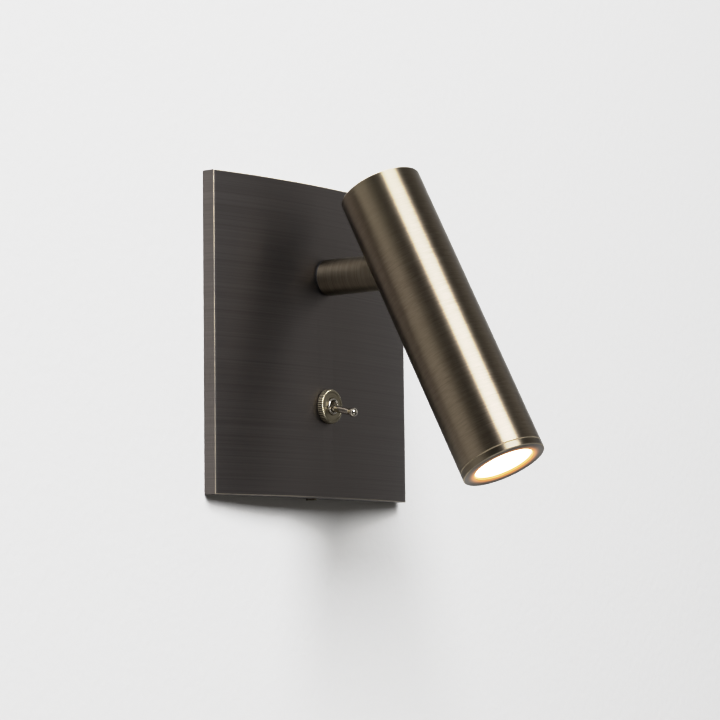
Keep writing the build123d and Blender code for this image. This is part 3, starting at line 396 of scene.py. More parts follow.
def useGroup(tree, group, inputs=None):
    node = tree.nodes.new("ShaderNodeGroup")
    node.node_tree = group
    for name, value in (inputs or {}).items():
        node.inputs[name].default_value = value
    return node


def newMaterial(name):
    material = bpy.data.materials.new(name)
    material.use_nodes = True
    tree = material.node_tree
    return material, tree, tree.nodes["Principled BSDF"]


def mixColour(tree, factor, first, second):
    node = addNode(tree, "ShaderNodeMix", data_type="RGBA")
    # The colour sockets come seventh and eighth, after those for numbers and vectors
    for index, value in zip((0, 6, 7), (factor, first, second)):
        feed(tree, node.inputs[index], value)
    return node.outputs[2]


def pieceCoordinates(tree, settings):
    coordinates = addNode(tree, "ShaderNodeTexCoord")
    mapping = addNode(tree, "ShaderNodeMapping", vector_type="TEXTURE")
    mapping.inputs["Location"].default_value = settings.get("centre", (0, 0, 0))
    mapping.inputs["Rotation"].default_value = settings.get("turn", (0, 0, 0))
    tree.links.new(coordinates.outputs["Object"], mapping.inputs["Vector"])
    return mapping.outputs[0]


def addBump(tree, shader, height, distance):
    bump = addNode(tree, "ShaderNodeBump", {"Strength": 1.0, "Distance": distance})
    tree.links.new(height, bump.inputs["Height"])
    tree.links.new(bump.outputs[0], shader.inputs["Normal"])


def toWorld(tree, direction):
    turned = addNode(
        tree,
        "ShaderNodeVectorTransform",
        vector_type="VECTOR",
        convert_from="OBJECT",
        convert_to="WORLD",
    )
    feed(tree, turned.inputs[0], direction)
    return turned.outputs[0]


def addTangent(tree, shader, settings):
    # Brushing spreads reflections square to its lines, which run round an axis or straight
    if settings.get("turned"):
        coordinates = addNode(tree, "ShaderNodeTexCoord")
        offset = vectorMath(tree, "SUBTRACT", coordinates.outputs["Object"], settings["centre"])
        circling = vectorMath(tree, "CROSS_PRODUCT", settings["axis"], offset)
        normal = addNode(tree, "ShaderNodeNewGeometry").outputs["Normal"]
        along = vectorMath(tree, "CROSS_PRODUCT", toWorld(tree, circling), normal)
    else:
        along = toWorld(tree, settings["across"])
    tree.links.new(along, shader.inputs["Tangent"])


# Patches: slow drift between browner and more golden areas, rubbed edges with painted highlight
# lines, and plain grain
driftPatches = {"Scale": 26.0, "Start": 0.4, "End": 0.9}
rubAndHighlightPatches = {"Scale": 60.0, "Start": 0.2, "End": 0.75}
grainPatches = {"Start": 0.3, "End": 0.7}


def brushedMetal(name, settings):
    material, tree, shader = newMaterial(name)
    local = pieceCoordinates(tree, settings)
    vector = local
    if settings.get("turned"):
        rounds = useGroup(tree, turnedCoordinates)
        tree.links.new(local, rounds.inputs["Vector"])
        vector = rounds.outputs["Vector"]
    lines = useGroup(
        tree,
        brushLines,
        {
            "Fine": settings["fine"],
            "Broad": settings["broad"],
            "Low": settings["rough"][0],
            "High": settings["rough"][1],
        },
    )
    tree.links.new(vector, lines.inputs["Vector"])
    colour = mixColour(tree, lines.outputs["Shade"], settings["dark"], settings["light"])
    for label, spots in (("tone", driftPatches), ("rubAndHighlight", rubAndHighlightPatches)):
        if settings.get(label):
            worn = useGroup(tree, patches, spots)
            tree.links.new(local, worn.inputs["Vector"])
            colour = mixColour(tree, worn.outputs["Amount"], colour, settings[label])
    tree.links.new(colour, shader.inputs["Base Color"])
    tree.links.new(lines.outputs["Roughness"], shader.inputs["Roughness"])
    shader.inputs["Metallic"].default_value = settings.get("metal", 1.0)
    addBump(tree, shader, lines.outputs["Height"], settings["depth"])
    shader.inputs["Anisotropic"].default_value = settings["spread"]
    addTangent(tree, shader, settings)
    return material


def grainedSurface(name, settings):
    material, tree, shader = newMaterial(name)
    local = pieceCoordinates(tree, settings)
    grain = useGroup(tree, patches, {"Scale": settings["scale"], **grainPatches})
    tree.links.new(local, grain.inputs["Vector"])
    colour = mixColour(tree, grain.outputs["Amount"], settings["dark"], settings["light"])
    tree.links.new(colour, shader.inputs["Base Color"])
    shader.inputs["Metallic"].default_value = settings.get("metal", 0.0)
    shader.inputs["Roughness"].default_value = settings["rough"]
    addBump(tree, shader, grain.outputs["Height"], settings.get("depth", 0.000005))
    return material


# Bronze of the plate and of the turned parts
bronze = {
    "cover": {
        "fine": (9, 9, 4200),
        "broad": (5, 5, 1300),
        "rough": (0.5, 0.56),
        "dark": (0.137, 0.12, 0.11),
        "light": (0.18, 0.159, 0.147),
        "depth": 0.0000014,
        "spread": 0.8,
        "across": (0, 0, 1),
    },
    "head": {
        "turned": True,
        "centre": tuple(pivot),
        "turn": (headTurn, 0, 0),
        "axis": tuple(headDirection),
        "fine": (260, 260, 4200),
        "broad": (80, 80, 1500),
        "rough": (0.34, 0.39),
        "dark": (0.13, 0.1, 0.068),
        "light": (0.186, 0.147, 0.101),
        "tone": (0.16, 0.129, 0.084),
        "depth": 0.000003,
        "spread": 0.8,
    },
    "arm": {
        "turned": True,
        "centre": (0, 0, place["armHeight"] * mm),
        "turn": (math.pi / 2, 0, 0),
        "axis": (0, -1, 0),
        "fine": (20, 20, 2600),
        "broad": (20, 20, 1100),
        "rough": (0.36, 0.42),
        "dark": (0.1, 0.08, 0.054),
        "light": (0.175, 0.142, 0.1),
        "depth": 0.000005,
        "spread": 0.85,
    },
}

# Bevels are rubbed paler; the cover's top bevel and the head's rear rim are painted much paler
# still, a painted highlight line
coverBronze = brushedMetal("coverBronze", bronze["cover"])
edgeLook = {"rubAndHighlight": (0.4, 0.335, 0.24), "rough": (0.44, 0.54), "spread": 0.0, "metal": 0.78}
coverEdge = brushedMetal("coverEdge", {**bronze["cover"], **edgeLook})
wearAndPaintedHighlightLook = {**edgeLook, "rubAndHighlight": (0.92, 0.78, 0.54), "rough": (0.3, 0.4), "metal": 0.45}
coverTopPaintedHighlight = brushedMetal("coverTopPaintedHighlight", {**bronze["cover"], **wearAndPaintedHighlightLook})
headRearPaintedHighlight = brushedMetal("headRearPaintedHighlight", {**bronze["head"], **wearAndPaintedHighlightLook})
headBronze = brushedMetal("headBronze", bronze["head"])
headEdge = brushedMetal("headEdge", {**bronze["head"], **edgeLook, "rubAndHighlight": (0.5, 0.42, 0.29)})
armBronze = brushedMetal("armBronze", bronze["arm"])

nutFinish = {
    "turned": True,
    "centre": (0, 0, -place["switchDrop"] * mm),
    "turn": (math.pi / 2, 0, 0),
    "axis": (0, -1, 0),
    "fine": (40, 40, 5000),
    "broad": (60, 60, 1500),
    "rough": (0.28, 0.4),
    "dark": (0.14, 0.118, 0.078),
    "light": (0.22, 0.188, 0.122),
    "depth": 0.000003,
    "spread": 0.4,
}
nutBrass = brushedMetal("nutBrass", nutFinish)
nutEdgeLook = {"rubAndHighlight": (0.64, 0.56, 0.39), "rough": (0.24, 0.34), "spread": 0.0}
nutEdge = brushedMetal("nutEdge", {**nutFinish, **nutEdgeLook})
# Paler knurl crests are a painted highlight; the near-black grooves below are painted shade
knurlCrestHighlightLook = {
    "rough": (0.6, 0.7),
    "spread": 0.0,
    "dark": (0.4, 0.34, 0.23),
    "light": (0.5, 0.43, 0.3),
}
knurlCrestPaintedHighlight = brushedMetal("knurlCrestPaintedHighlight", {**nutFinish, **knurlCrestHighlightLook})
grooveShadeLook = {**knurlCrestHighlightLook, "dark": (0.03, 0.024, 0.016), "light": (0.05, 0.04, 0.027)}
groovePaintedShade = brushedMetal("groovePaintedShade", {**nutFinish, **grooveShadeLook})


def camelName(label):
    first, *others = label.split("_")
    return first + "".join(word.capitalize() for word in others)


# Finishes of the CAD's other slots, under the slots' own names
plainFinishes = {
    "dark_screw": {
        "dark": (0.16, 0.135, 0.1),
        "light": (0.3, 0.26, 0.2),
        "rough": 0.35,
        "metal": 1.0,
        "scale": 900.0,
    },
    "zinc_steel": {
        "dark": (0.42, 0.43, 0.45),
        "light": (0.62, 0.63, 0.64),
        "rough": 0.36,
        "metal": 1.0,
        "scale": 260.0,
    },
    "bright_nickel": {
        "dark": (0.72, 0.66, 0.57),
        "light": (0.84, 0.78, 0.69),
        "rough": 0.27,
        "metal": 1.0,
        "scale": 500.0,
        "depth": 0.0000005,
    },
    "antique_brass": {
        "dark": (0.25, 0.21, 0.14),
        "light": (0.36, 0.31, 0.2),
        "rough": 0.34,
        "metal": 1.0,
        "scale": 500.0,
    },
    "plain_brass": {
        "dark": (0.6, 0.44, 0.2),
        "light": (0.78, 0.6, 0.3),
        "rough": 0.28,
        "metal": 1.0,
        "scale": 400.0,
    },
    "cast_zinc": {
        "dark": (0.36, 0.36, 0.37),
        "light": (0.5, 0.5, 0.51),
        "rough": 0.5,
        "metal": 1.0,
        "scale": 1500.0,
        "depth": 0.00002,
    },
    "plain_aluminium": {
        "dark": (0.68, 0.69, 0.7),
        "light": (0.8, 0.81, 0.82),
        "rough": 0.32,
        "metal": 1.0,
        "scale": 800.0,
    },
    "black_nylon": {
        "dark": (0.014, 0.014, 0.014),
        "light": (0.026, 0.026, 0.026),
        "rough": 0.5,
        "scale": 500.0,
    },
    "black_plastic": {
        "dark": (0.012, 0.012, 0.013),
        "light": (0.02, 0.02, 0.021),
        "rough": 0.42,
        "scale": 1800.0,
        "depth": 0.00001,
    },
    "white_plastic": {
        "dark": (0.68, 0.68, 0.66),
        "light": (0.76, 0.76, 0.74),
        "rough": 0.4,
        "scale": 1500.0,
    },
    "circuit_board": {
        "dark": (0.01, 0.09, 0.035),
        "light": (0.02, 0.13, 0.05),
        "rough": 0.35,
        "scale": 300.0,
    },
    "grey_pad": {
        "dark": (0.2, 0.21, 0.22),
        "light": (0.27, 0.28, 0.29),
        "rough": 0.7,
        "scale": 1200.0,
    },
    "led_dome": {
        "dark": (0.8, 0.62, 0.15),
        "light": (0.85, 0.68, 0.2),
        "rough": 0.25,
        "scale": 900.0,
    },
    "black_rubber": {
        "dark": (0.01, 0.01, 0.01),
        "light": (0.022, 0.022, 0.022),
        "rough": 0.65,
        "scale": 1200.0,
    },
    "green_sleeve": {
        "dark": (0.05, 0.22, 0.04),
        "light": (0.09, 0.3, 0.06),
        "rough": 0.38,
        "scale": 400.0,
    },
    "blue_sleeve": {
        "dark": (0.02, 0.07, 0.3),
        "light": (0.03, 0.1, 0.38),
        "rough": 0.38,
        "scale": 400.0,
    },
    "brown_sleeve": {
        "dark": (0.1, 0.04, 0.015),
        "light": (0.15, 0.06, 0.025),
        "rough": 0.38,
        "scale": 400.0,
    },
    "black_sleeve": {
        "dark": (0.012, 0.012, 0.012),
        "light": (0.025, 0.025, 0.025),
        "rough": 0.4,
        "scale": 400.0,
    },
}
finishes = {label: grainedSurface(camelName(label), look) for label, look in plainFinishes.items()}
leverLook = {
    "dark": (0.44, 0.39, 0.31),
    "light": (0.54, 0.49, 0.41),
    "rough": 0.15,
    "metal": 0.97,
    "scale": 500.0,
    "depth": 0.0000005,
}
leverNickel = grainedSurface("leverNickel", leverLook)
finishes["cover_bronze"] = coverBronze
finishes["turned_bronze"] = headBronze


def makeClearLens():
    material, tree, shader = newMaterial("clearLens")
    shader.inputs["Base Color"].default_value = (0.97, 0.98, 0.98, 1)
    shader.inputs["Roughness"].default_value = 0.03
    shader.inputs["Transmission Weight"].default_value = 1.0
    shader.inputs["IOR"].default_value = 1.49
    return material


def fadeFromAxis(tree, start, end):
    # One inside the start radius of the head and nothing outside the end radius
    local = pieceCoordinates(tree, bronze["head"])
    parts = addNode(tree, "ShaderNodeSeparateXYZ")
    tree.links.new(local, parts.inputs[0])
    limits = {"From Min": end, "From Max": start, "To Min": 0.0, "To Max": 1.0}
    fade = addNode(tree, "ShaderNodeMapRange", limits, interpolation_type="SMOOTHSTEP")
    tree.links.new(axisDistance(tree, parts), fade.inputs["Value"])
    return fade.outputs[0]


# The window shines warm white and dies down to amber at its rim
windowLook = {
    "dark": (0.86, 0.86, 0.84),
    "light": (0.92, 0.92, 0.9),
    "rough": 0.5,
    "scale": 2500.0,
    "depth": 0.00001,
}
lampLight = {
    "colour": (1.0, 0.86, 0.66),
    "rim": (0.17, 0.09, 0.035),
    "strength": 9.0,
    "fade": (0.0099, 0.0117),
}


def makeFrostedWindow():
    material = grainedSurface("frostedWindow", windowLook)
    tree = material.node_tree
    shader = tree.nodes["Principled BSDF"]
    inside = fadeFromAxis(tree, *lampLight["fade"])
    shine = mixColour(tree, inside, lampLight["rim"], lampLight["colour"])
    tree.links.new(shine, shader.inputs["Emission Color"])
    shader.inputs["Emission Strength"].default_value = lampLight["strength"]
    return material


finishes["clear_lens"] = makeClearLens()
finishes["frosted_window"] = makeFrostedWindow()
print("materials made")


slotOfNode = {row["node"]: row["material_slot"] for row in frame["record"]["subparts"]}


def dress(piece, *materials):
    piece.data.materials.clear()
    for material in materials:
        piece.data.materials.append(material)


def hand(piece, body, node):
    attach(piece, body)
    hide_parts(node)


# Cover: a shell cut from a large drum, folded sides, holes and the welded catch
coverSettings = {
    "half": 60.0,
    "sides": 720,
    "wall": 1.5,
    "bevel": 0.22,
    "armHole": 6.05,
    "switchHole": 3.275,
    "screwHole": 1.45,
    "screwDepth": 3.1,
    "catchLow": (-7.0, -10.3, 55.3),
    "catchHigh": (7.0, -2.5, 56.5),
    "catchBevel": 0.2,
    "smooth": 25,
}


def buildCover(settings):
    half, bulge, crest = settings["half"], place["bulge"], place["crestDepth"]
    radius = (half**2 + bulge**2) / (2 * bulge)
    piece = cutterDrum((0, radius - crest, 0), radius, 2 * half, sides=settings["sides"])
    piece.name = "coverShell"
    freeze(piece)
    # Cut off at the wall and at both sides
    for away, distance in (((0, 1, 0), 0), ((1, 0, 0), half), ((-1, 0, 0), half)):
        editing(piece)
        point = Vector(away) * distance * mm
        bpy.ops.mesh.bisect(plane_co=point, plane_no=away, use_fill=True, clear_outer=True)
        doneEditing()
    closeMesh(piece)
    pick(piece, "FACE", lambda point, normal: normal.y > 0.99)
    bpy.ops.mesh.delete(type="FACE")
    doneEditing()
    applyModifier(
        piece,
        "SOLIDIFY",
        thickness=settings["wall"] * mm,
        offset=-1,
        use_even_offset=True,
        use_rim=True,
    )

    def frontEdge(point, along):
        outer = abs(point.z) > half - 0.01 or abs(point.x) > half - 0.01
        return outer and -point.y > place["sideDepth"] - 0.01

    def topHighlightFaces(point, normal):
        return point.z > half - settings["bevel"] and normal.z > 0.15 and normal.y < -0.15

    dress(piece, coverBronze, coverEdge, coverTopPaintedHighlight)
    pick(piece, "EDGE", frontEdge)
    bpy.ops.mesh.bevel(offset=settings["bevel"] * mm, segments=3, affect="EDGES", material=1)
    doneEditing()
    holes = [
        ((0, -crest, place["armHeight"]), settings["armHole"], "Y"),
        ((0, -crest, -place["switchDrop"]), settings["switchHole"], "Y"),
        ((0, -settings["screwDepth"], -half), settings["screwHole"], "Z"),
    ]
    for middle, holeRadius, axis in holes:
        combine(piece, cutterDrum(middle, holeRadius, 6, axis))
    catch = cutterBlock(settings["catchLow"], settings["catchHigh"])
    freeze(catch)
    applyModifier(catch, "BEVEL", width=settings["catchBevel"] * mm, segments=2)
    makeActive(piece)
    catch.select_set(True)
    bpy.ops.object.join()
    # The upward-facing top bevel takes the painted highlight
    faceFinish(piece, topHighlightFaces, 2)
    smoothPiece(piece, settings["smooth"])
    hand(piece, "wall_base", "front_cover")


buildCover(coverSettings)
print("cover built")


# Head: slotted tube, rear cap, bezel and window
headSettings = {
    "radius": 16.0,
    "bore": 14.5,
    "rear": -35.4,
    "front": 81.8,
    "rim": 0.3,
    "seam": 0.2,
    "slotHalf": 7.3,
    "slotMiddle": 0.1,
    "slotReach": 45.0,
    "grubPlace": 11.0,
    "grubHole": 1.6,
    "steps": 144,
    "smooth": 28,
}


def chamferFaces(radius, *places, width=0.32):
    # A test for the bevelled rims of a turned piece
    def test(point, normal):
        near = any(abs(point.z - spot) < width for spot in places)
        return near and abs(radiusOf(point) - radius) < width

    return test


def buildHeadTube(settings):
    radius, bore, rear, front = (settings[k] for k in ("radius", "bore", "rear", "front"))
    rim, seam = settings["rim"], settings["seam"]
    outline = [
        (radius - rim, rear),
        (radius, rear + rim),
        (radius, front - seam),
        (radius - seam, front),
        (bore, front),
        (bore, rear),
    ]
    piece = turnedPiece("headTube", outline, settings["steps"])
    dress(piece, headBronze, headEdge, headRearPaintedHighlight)
    faceFinish(piece, chamferFaces(radius, front))
    # The rear rim takes the painted highlight
    faceFinish(piece, chamferFaces(radius, rear), 2)
    middle = (0, -10, settings["slotMiddle"])
    combine(piece, cutterSlot(middle, settings["slotHalf"], 20, "Y", settings["slotReach"]))
    grub = cutterDrum((0, -radius, settings["grubPlace"]), settings["grubHole"], 8, "Y", 48)
    combine(piece, grub)
    setDown(piece, headFrame)
    smoothPiece(piece, settings["smooth"])
    hand(piece, "head", "head_shell")


capSettings = {
    "radius": 14.4,
    "bevel": 0.1,
    "thickness": 3.0,
    "tongueLength": 5.0,
    "tongueHalf": 7.1,
    "tongueRoot": -13.0,
    "screws": ((-7.0, 9.5), (7.0, 9.5)),
    "hole": 1.35,
    "counterbore": 2.4,
    "counterDepth": 1.35,
}


def buildRearCap(settings):
    outer, rear, rim, steps = (headSettings[k] for k in ("radius", "rear", "rim", "steps"))

    def plug(name, radius, bevel, length):
        # Disc with a bevelled rear rim
        end = rear + length
        rimPoints = [(radius - bevel, rear), (radius, rear + bevel)]
        outline = [(0, rear), *rimPoints, (radius, end), (0, end)]
        return turnedPiece(name, outline, steps, closed=False)

    piece = plug("rearCapPlug", settings["radius"], settings["bevel"], settings["thickness"])
    tongue = plug("tongue", outer, rim, settings["tongueLength"])
    half, root = settings["tongueHalf"], settings["tongueRoot"]
    combine(tongue, cutterBlock((-half, -19, rear - 2), (half, root, 0)), "INTERSECT")
    combine(piece, tongue, "UNION")
    for across, up in settings["screws"]:
        combine(piece, cutterDrum((across, up, rear), settings["hole"], 12, sides=48))
        depth = 2 * settings["counterDepth"]
        combine(piece, cutterDrum((across, up, rear), settings["counterbore"], depth, sides=48))
    dress(piece, headBronze, headEdge)
    faceFinish(piece, chamferFaces(outer, rear))
    setDown(piece, headFrame)
    smoothPiece(piece, headSettings["smooth"])
    hand(piece, "head", "rear_cap")


bezelSettings = {
    "spigot": 14.35,
    "spigotBore": 13.1,
    "spigotRear": 75.0,
    "seam": 0.2,
    "front": 84.6,
    "rim": 0.3,
    "aperture": 11.5,
    "lipRear": 83.6,
    "side": {"dark": (0.1, 0.079, 0.053), "light": (0.13, 0.104, 0.072)},
    "face": {"dark": (0.075, 0.058, 0.04), "light": (0.1, 0.079, 0.056)},
    # Painted glow: the ring is no lamp, its emission stands in for the window's light on it
    "paintedGlowColour": (1.0, 0.4, 0.1),
    "glow": 0.9,
    "fade": (0.0113, 0.0158),
    "power": 3.0,
}


# The ring round the window has a painted warm glow: an emission that stands in for the window's
# light falling on it and dies out towards its outer edge
def makeBezelFacePaintedGlow():
    material = brushedMetal("bezelFacePaintedGlow", {**bronze["head"], **bezelSettings["face"]})
    tree = material.node_tree
    shader = tree.nodes["Principled BSDF"]
    fade = fadeFromAxis(tree, *bezelSettings["fade"])
    power = mathNode(tree, "POWER", fade, bezelSettings["power"])
    colour = mixColour(tree, power, (0.0, 0.0, 0.0), bezelSettings["paintedGlowColour"])
    tree.links.new(colour, shader.inputs["Emission Color"])
    shader.inputs["Emission Strength"].default_value = bezelSettings["glow"]
    return material


def buildBezel(settings):
    radius, rear = headSettings["radius"], headSettings["front"]
    front, rim, seam = settings["front"], settings["rim"], settings["seam"]
    spigot, bore, aperture = settings["spigot"], settings["spigotBore"], settings["aperture"]
    outline = [
        (bore, settings["spigotRear"]),
        (spigot, settings["spigotRear"]),
        (spigot, rear),
        (radius - seam, rear),
        (radius, rear + seam),
        (radius, front - rim),
        (radius - rim, front),
        (aperture + rim, front),
        (aperture, front - rim),
        (aperture, settings["lipRear"]),
        (bore, settings["lipRear"]),
    ]
    piece = turnedPiece("bezelRing", outline, headSettings["steps"])
    bezelSide = brushedMetal("bezelSide", {**bronze["head"], **settings["side"]})
    dress(piece, bezelSide, headEdge, makeBezelFacePaintedGlow())
    faceFinish(piece, chamferFaces(radius, rear + seam, front))

    def lipFaces(point, normal):
        return point.z > settings["lipRear"] - 0.05 and radiusOf(point) < radius - rim - 0.01

    # The lip and the ring's front face take the painted glow
    faceFinish(piece, lipFaces, 2)
    setDown(piece, headFrame)
    smoothPiece(piece, headSettings["smooth"])
    hand(piece, "head", "front_bezel")


windowSettings = {"radius": 12.9, "rear": 81.5, "front": 83.5, "bevel": 0.2, "steps": 96}


def buildWindow(settings):
    radius, rear, front, bevel = (settings[k] for k in ("radius", "rear", "front", "bevel"))
    outline = [
        (0, rear),
        (radius - bevel, rear),
        (radius, rear + bevel),
        (radius, front - bevel),
        (radius - bevel, front),
        (0, front),
    ]
    piece = turnedPiece("windowDisc", outline, settings["steps"], closed=False)
    dress(piece, finishes["frosted_window"])
    setDown(piece, headFrame)
    smoothPiece(piece, headSettings["smooth"])
    hand(piece, "head", "window")


buildHeadTube(headSettings)
buildRearCap(capSettings)
buildBezel(bezelSettings)
buildWindow(windowSettings)
print("head built")


# Arm: turned tube with a rounded eye, flats and bores
armSettings = {
    "radius": 7.0,
    "root": 12.0,
    "rootBevel": 0.2,
    "bore": 2.9,
    "nippleBore": 5.0,
    "nippleEnd": 21.55,
    "flat": 6.0,
    "flatStart": 42.55,
    "screwHole": 1.5,
    "eyeReach": 60.0,
    "tiltEnds": (40, 90),
    "leadReach": 14.0,
    "steps": 96,
    "smooth": 28,
}


def buildArm(settings):
    radius, root, bevel = settings["radius"], settings["root"], settings["rootBevel"]
    end = place["pivotDepth"]
    outline = [
        (settings["nippleBore"], root),
        (radius - bevel, root),
        (radius, root + bevel),
        (radius, end + radius),
        (0, end + radius),
        (0, end),
        (settings["bore"], end),
        (settings["bore"], settings["nippleEnd"]),
        (settings["nippleBore"], settings["nippleEnd"]),
    ]
    piece = turnedPiece("armTube", outline, settings["steps"])
    combine(piece, cutterSlot((0, 0, end), radius, 40, "X", settings["eyeReach"]), "INTERSECT")
    for side in (-1, 1):
        near, far = sorted((side * settings["flat"], side * 20))
        combine(piece, cutterBlock((near, -20, settings["flatStart"]), (far, 20, 80)))
    combine(piece, cutterDrum((0, 0, end), settings["screwHole"], 30, "X", 48))
    combine(piece, fanCutter(settings, end))
    dress(piece, armBronze)
    setDown(piece, armFrame)
    smoothPiece(piece, settings["smooth"])
    hand(piece, "arm", "arm_tube")


def fanCutter(settings, end):
    # Wedge below the eye where the lead swings, between the two ends of the tilt
    half, reach = settings["bore"], settings["leadReach"]
    high, low = settings["tiltEnds"]
    spots = ((high, 0, half), (high, reach, half), (low, reach, -half), (low, 0, -half))
    corners = []
    for angle, length, step in spots:
        turn = math.radians(angle)
        outward = math.cos(turn) * length + math.sin(turn) * step
        down = math.sin(turn) * length - math.cos(turn) * step
        corners.append(Vector((-half, -down, end + outward)) * mm)
    deselectAll()
    bpy.ops.mesh.primitive_plane_add(size=2 * mm)
    wedge = bpy.context.object
    editing(wedge)
    bpy.ops.mesh.select_mode(type="VERT")
    doneEditing()
    for sides, corner in zip(((-1, -1), (1, -1), (1, 1), (-1, 1)), corners):
        spot = Vector((*sides, 0))
        pick(wedge, "VERT", lambda point, normal: (point - spot).length < 0.01)
        bpy.ops.transform.translate(value=corner - spot * mm)
        doneEditing()
    editing(wedge)
    bpy.ops.mesh.extrude_region_move(TRANSFORM_OT_translate={"value": (2 * half * mm, 0, 0)})
    doneEditing()
    closeMesh(wedge)
    return wedge


buildArm(armSettings)
print("arm built")


# Switch: knurled nut, threaded bushing and lever
nutSettings = {
    "radius": 6.6,
    "bore": 3.225,
    "thickness": 2.5,
    "rearBevel": 0.2,
    "bevel": 0.55,
    "knurls": 54,
    "knurlDepth": 0.3,
    "knurlShare": 0.1,
    "dish": 0.15,
    "mouth": (0.3, 0.2),
    "smooth": 32,
}


def buildDressNut(settings):
    radius, bore, bevel = settings["radius"], settings["bore"], settings["bevel"]
    rear, rearBevel = place["crestDepth"], settings["rearBevel"]
    front = rear + settings["thickness"]
    mouthWidth, mouthDepth = settings["mouth"]
    floor = front - settings["dish"]
    outline = [
        (bore, rear),
        (radius - rearBevel, rear),
        (radius, rear + rearBevel),
        (radius, front - bevel),
        (radius - bevel / 5, front - 0.56 * bevel),
        (radius - bevel / 2, front - bevel / 4),
        (radius - bevel, front - 0.08 * bevel),
        (radius - 2 * bevel, front),
        (radius - 2.3 * bevel, floor),
        (bore + mouthWidth, floor),
        (bore, floor - mouthDepth),
    ]
    knurls, depth = settings["knurls"], settings["knurlDepth"]
    piece = turnedPiece("knurledNut", outline, knurls * 4)

    def groove(point, normal):
        if radiusOf(point) < radius - 0.3:
            return False
        turn = math.atan2(point.y, point.x) / (2 * math.pi) * knurls
        return abs(turn - round(turn)) < settings["knurlShare"]

    def frontRim(point, normal):
        return radiusOf(point) > radius - bevel and point.z > front - bevel

    pick(piece, "VERT", groove)
    share = (radius - depth) / radius
    bpy.ops.transform.resize(value=(share, share, 1), center_override=(0, 0, 0))
    doneEditing()
    dress(piece, nutBrass, nutEdge, knurlCrestPaintedHighlight, groovePaintedShade)
    faceFinish(piece, frontRim)
    # Crests of the knurling are painted pale, a painted highlight, and its grooves near black,
    # painted shade
    innermost, halfway = (radius - depth - 0.05) * mm, (radius - depth / 2) * mm
    for polygon in piece.data.polygons:
        if radiusOf(polygon.center) > innermost and polygon.center.z < (front - bevel) * mm:
            least = min(radiusOf(piece.data.vertices[index].co) for index in polygon.vertices)
            polygon.material_index = 3 if least < halfway else 2
    setDown(piece, switchFrame)
    smoothPiece(piece, settings["smooth"])
    hand(piece, "wall_base", "switch_dress_nut")


bushingSettings = {
    "radius": 3.175,
    "bore": 2.35,
    "mouth": 0.4,
    "length": 8.7,
    "stand": 3.15,
    "rearBevel": 0.15,
    "threadStart": 0.2,
    "threadEnd": 0.35,
    "pitch": 0.6,
    "thread": 0.1,
    "roundedEnd": ((0.1, 0.42), (0.13, 0.25), (0.25, 0.07), (0.36, 0.0)),
    "steps": 96,
    "smooth": 35,
}


def buildBushing(settings):
    radius, bore, mouth = settings["radius"], settings["bore"], settings["mouth"]
    front = place["crestDepth"] + settings["stand"]
    rear = front - settings["length"]
    outline = [(bore, rear), (radius - settings["rearBevel"], rear)]
    height = rear + settings["threadStart"]
    while height + settings["pitch"] < front - settings["threadEnd"]:
        outline.append((radius - settings["thread"], height))
        outline.append((radius, height + settings["pitch"] / 2))
        height += settings["pitch"]
    outline += [(radius - inset, front - drop) for inset, drop in settings["roundedEnd"]]
    mouthSteps = ((mouth, 0), (mouth / 2, mouth / 2), (0, mouth))
    outline += [(bore + outset, front - drop) for outset, drop in mouthSteps]
    piece = turnedPiece("threadedBushing", outline, settings["steps"])
    dress(piece, finishes["bright_nickel"])
    setDown(piece, switchFrame)
    smoothPiece(piece, settings["smooth"])
    hand(piece, "wall_base", "switch_bushing")


leverSettings = {
    "angle": 12.2,
    "pivotDepth": 10.8,
    "length": 14.75,
    "rod": 1.3,
    "tip": 1.75,
    "ball": 2.2,
    "tail": 1.0,
    "tailEnd": -4.0,
    "tailBevel": 0.15,
    "rings": (6.0, 10.5),
    "steps": 48,
    "smooth": 40,
}


def arcPoints(centre, radius, start, end, count):
    # Points of a round outline; the angle is measured from the foot of the axis
    steps = (math.radians(start + (end - start) * i / count) for i in range(count + 1))
    return [(radius * math.sin(a), centre - radius * math.cos(a)) for a in steps]


def buildLever(settings):
    rod, tip, ball, tail = (settings[k] for k in ("rod", "tip", "ball", "tail"))
    length, end, bevel = settings["length"], settings["tailEnd"], settings["tailBevel"]
    tailMeet = math.degrees(math.asin(tail / ball))
    rodMeet = math.degrees(math.asin(rod / ball))
    neck = math.degrees(math.asin(rod / tip))
    outline = [(0, end), (tail - bevel, end), (tail, end + bevel)]
    outline += arcPoints(0, ball, tailMeet, 180 - rodMeet, 16)
    outline += [(rod, height) for height in settings["rings"]]
    outline += arcPoints(length - tip, tip, neck, 180, 14)
    piece = turnedPiece("switchLever", outline, settings["steps"], closed=False)
    dress(piece, leverNickel)
    turn = math.radians(settings["angle"])
    outward = Vector((0, -math.cos(turn), -math.sin(turn)))
    origin = Vector((0, -settings["pivotDepth"], -place["switchDrop"])) * mm
    setDown(piece, frameAt(origin, right, outward.cross(right)))
    smoothPiece(piece, settings["smooth"])
    hand(piece, "lever", "switch_lever")


buildDressNut(nutSettings)
buildBushing(bushingSettings)
buildLever(leverSettings)
print("switch built")


# Every other CAD node keeps its own mesh, with its slot's finish
for node, source in nodes.items():
    if source.hide_render:
        continue
    for materialSlot in source.material_slots:
        materialSlot.material = finishes[slotOfNode[node]]
print("CAD pieces dressed")


# Stage: pale wall with a hole behind the cover, pale floor, both unseen from behind
stageSettings = {
    "wallSize": 6.0,
    "wallLeft": -0.36,
    "hole": 0.117,
    "wallPlace": 0.0003,
    "wallColour": (0.564, 0.535, 0.492),
    "wallGrain": (260.0, 0.00025),
    "floorSize": 6.0,
    "floorHeight": -1.0,
    "floorColour": (0.8, 0.8, 0.8),
    "floorGrain": (60.0, 0.0002),
}


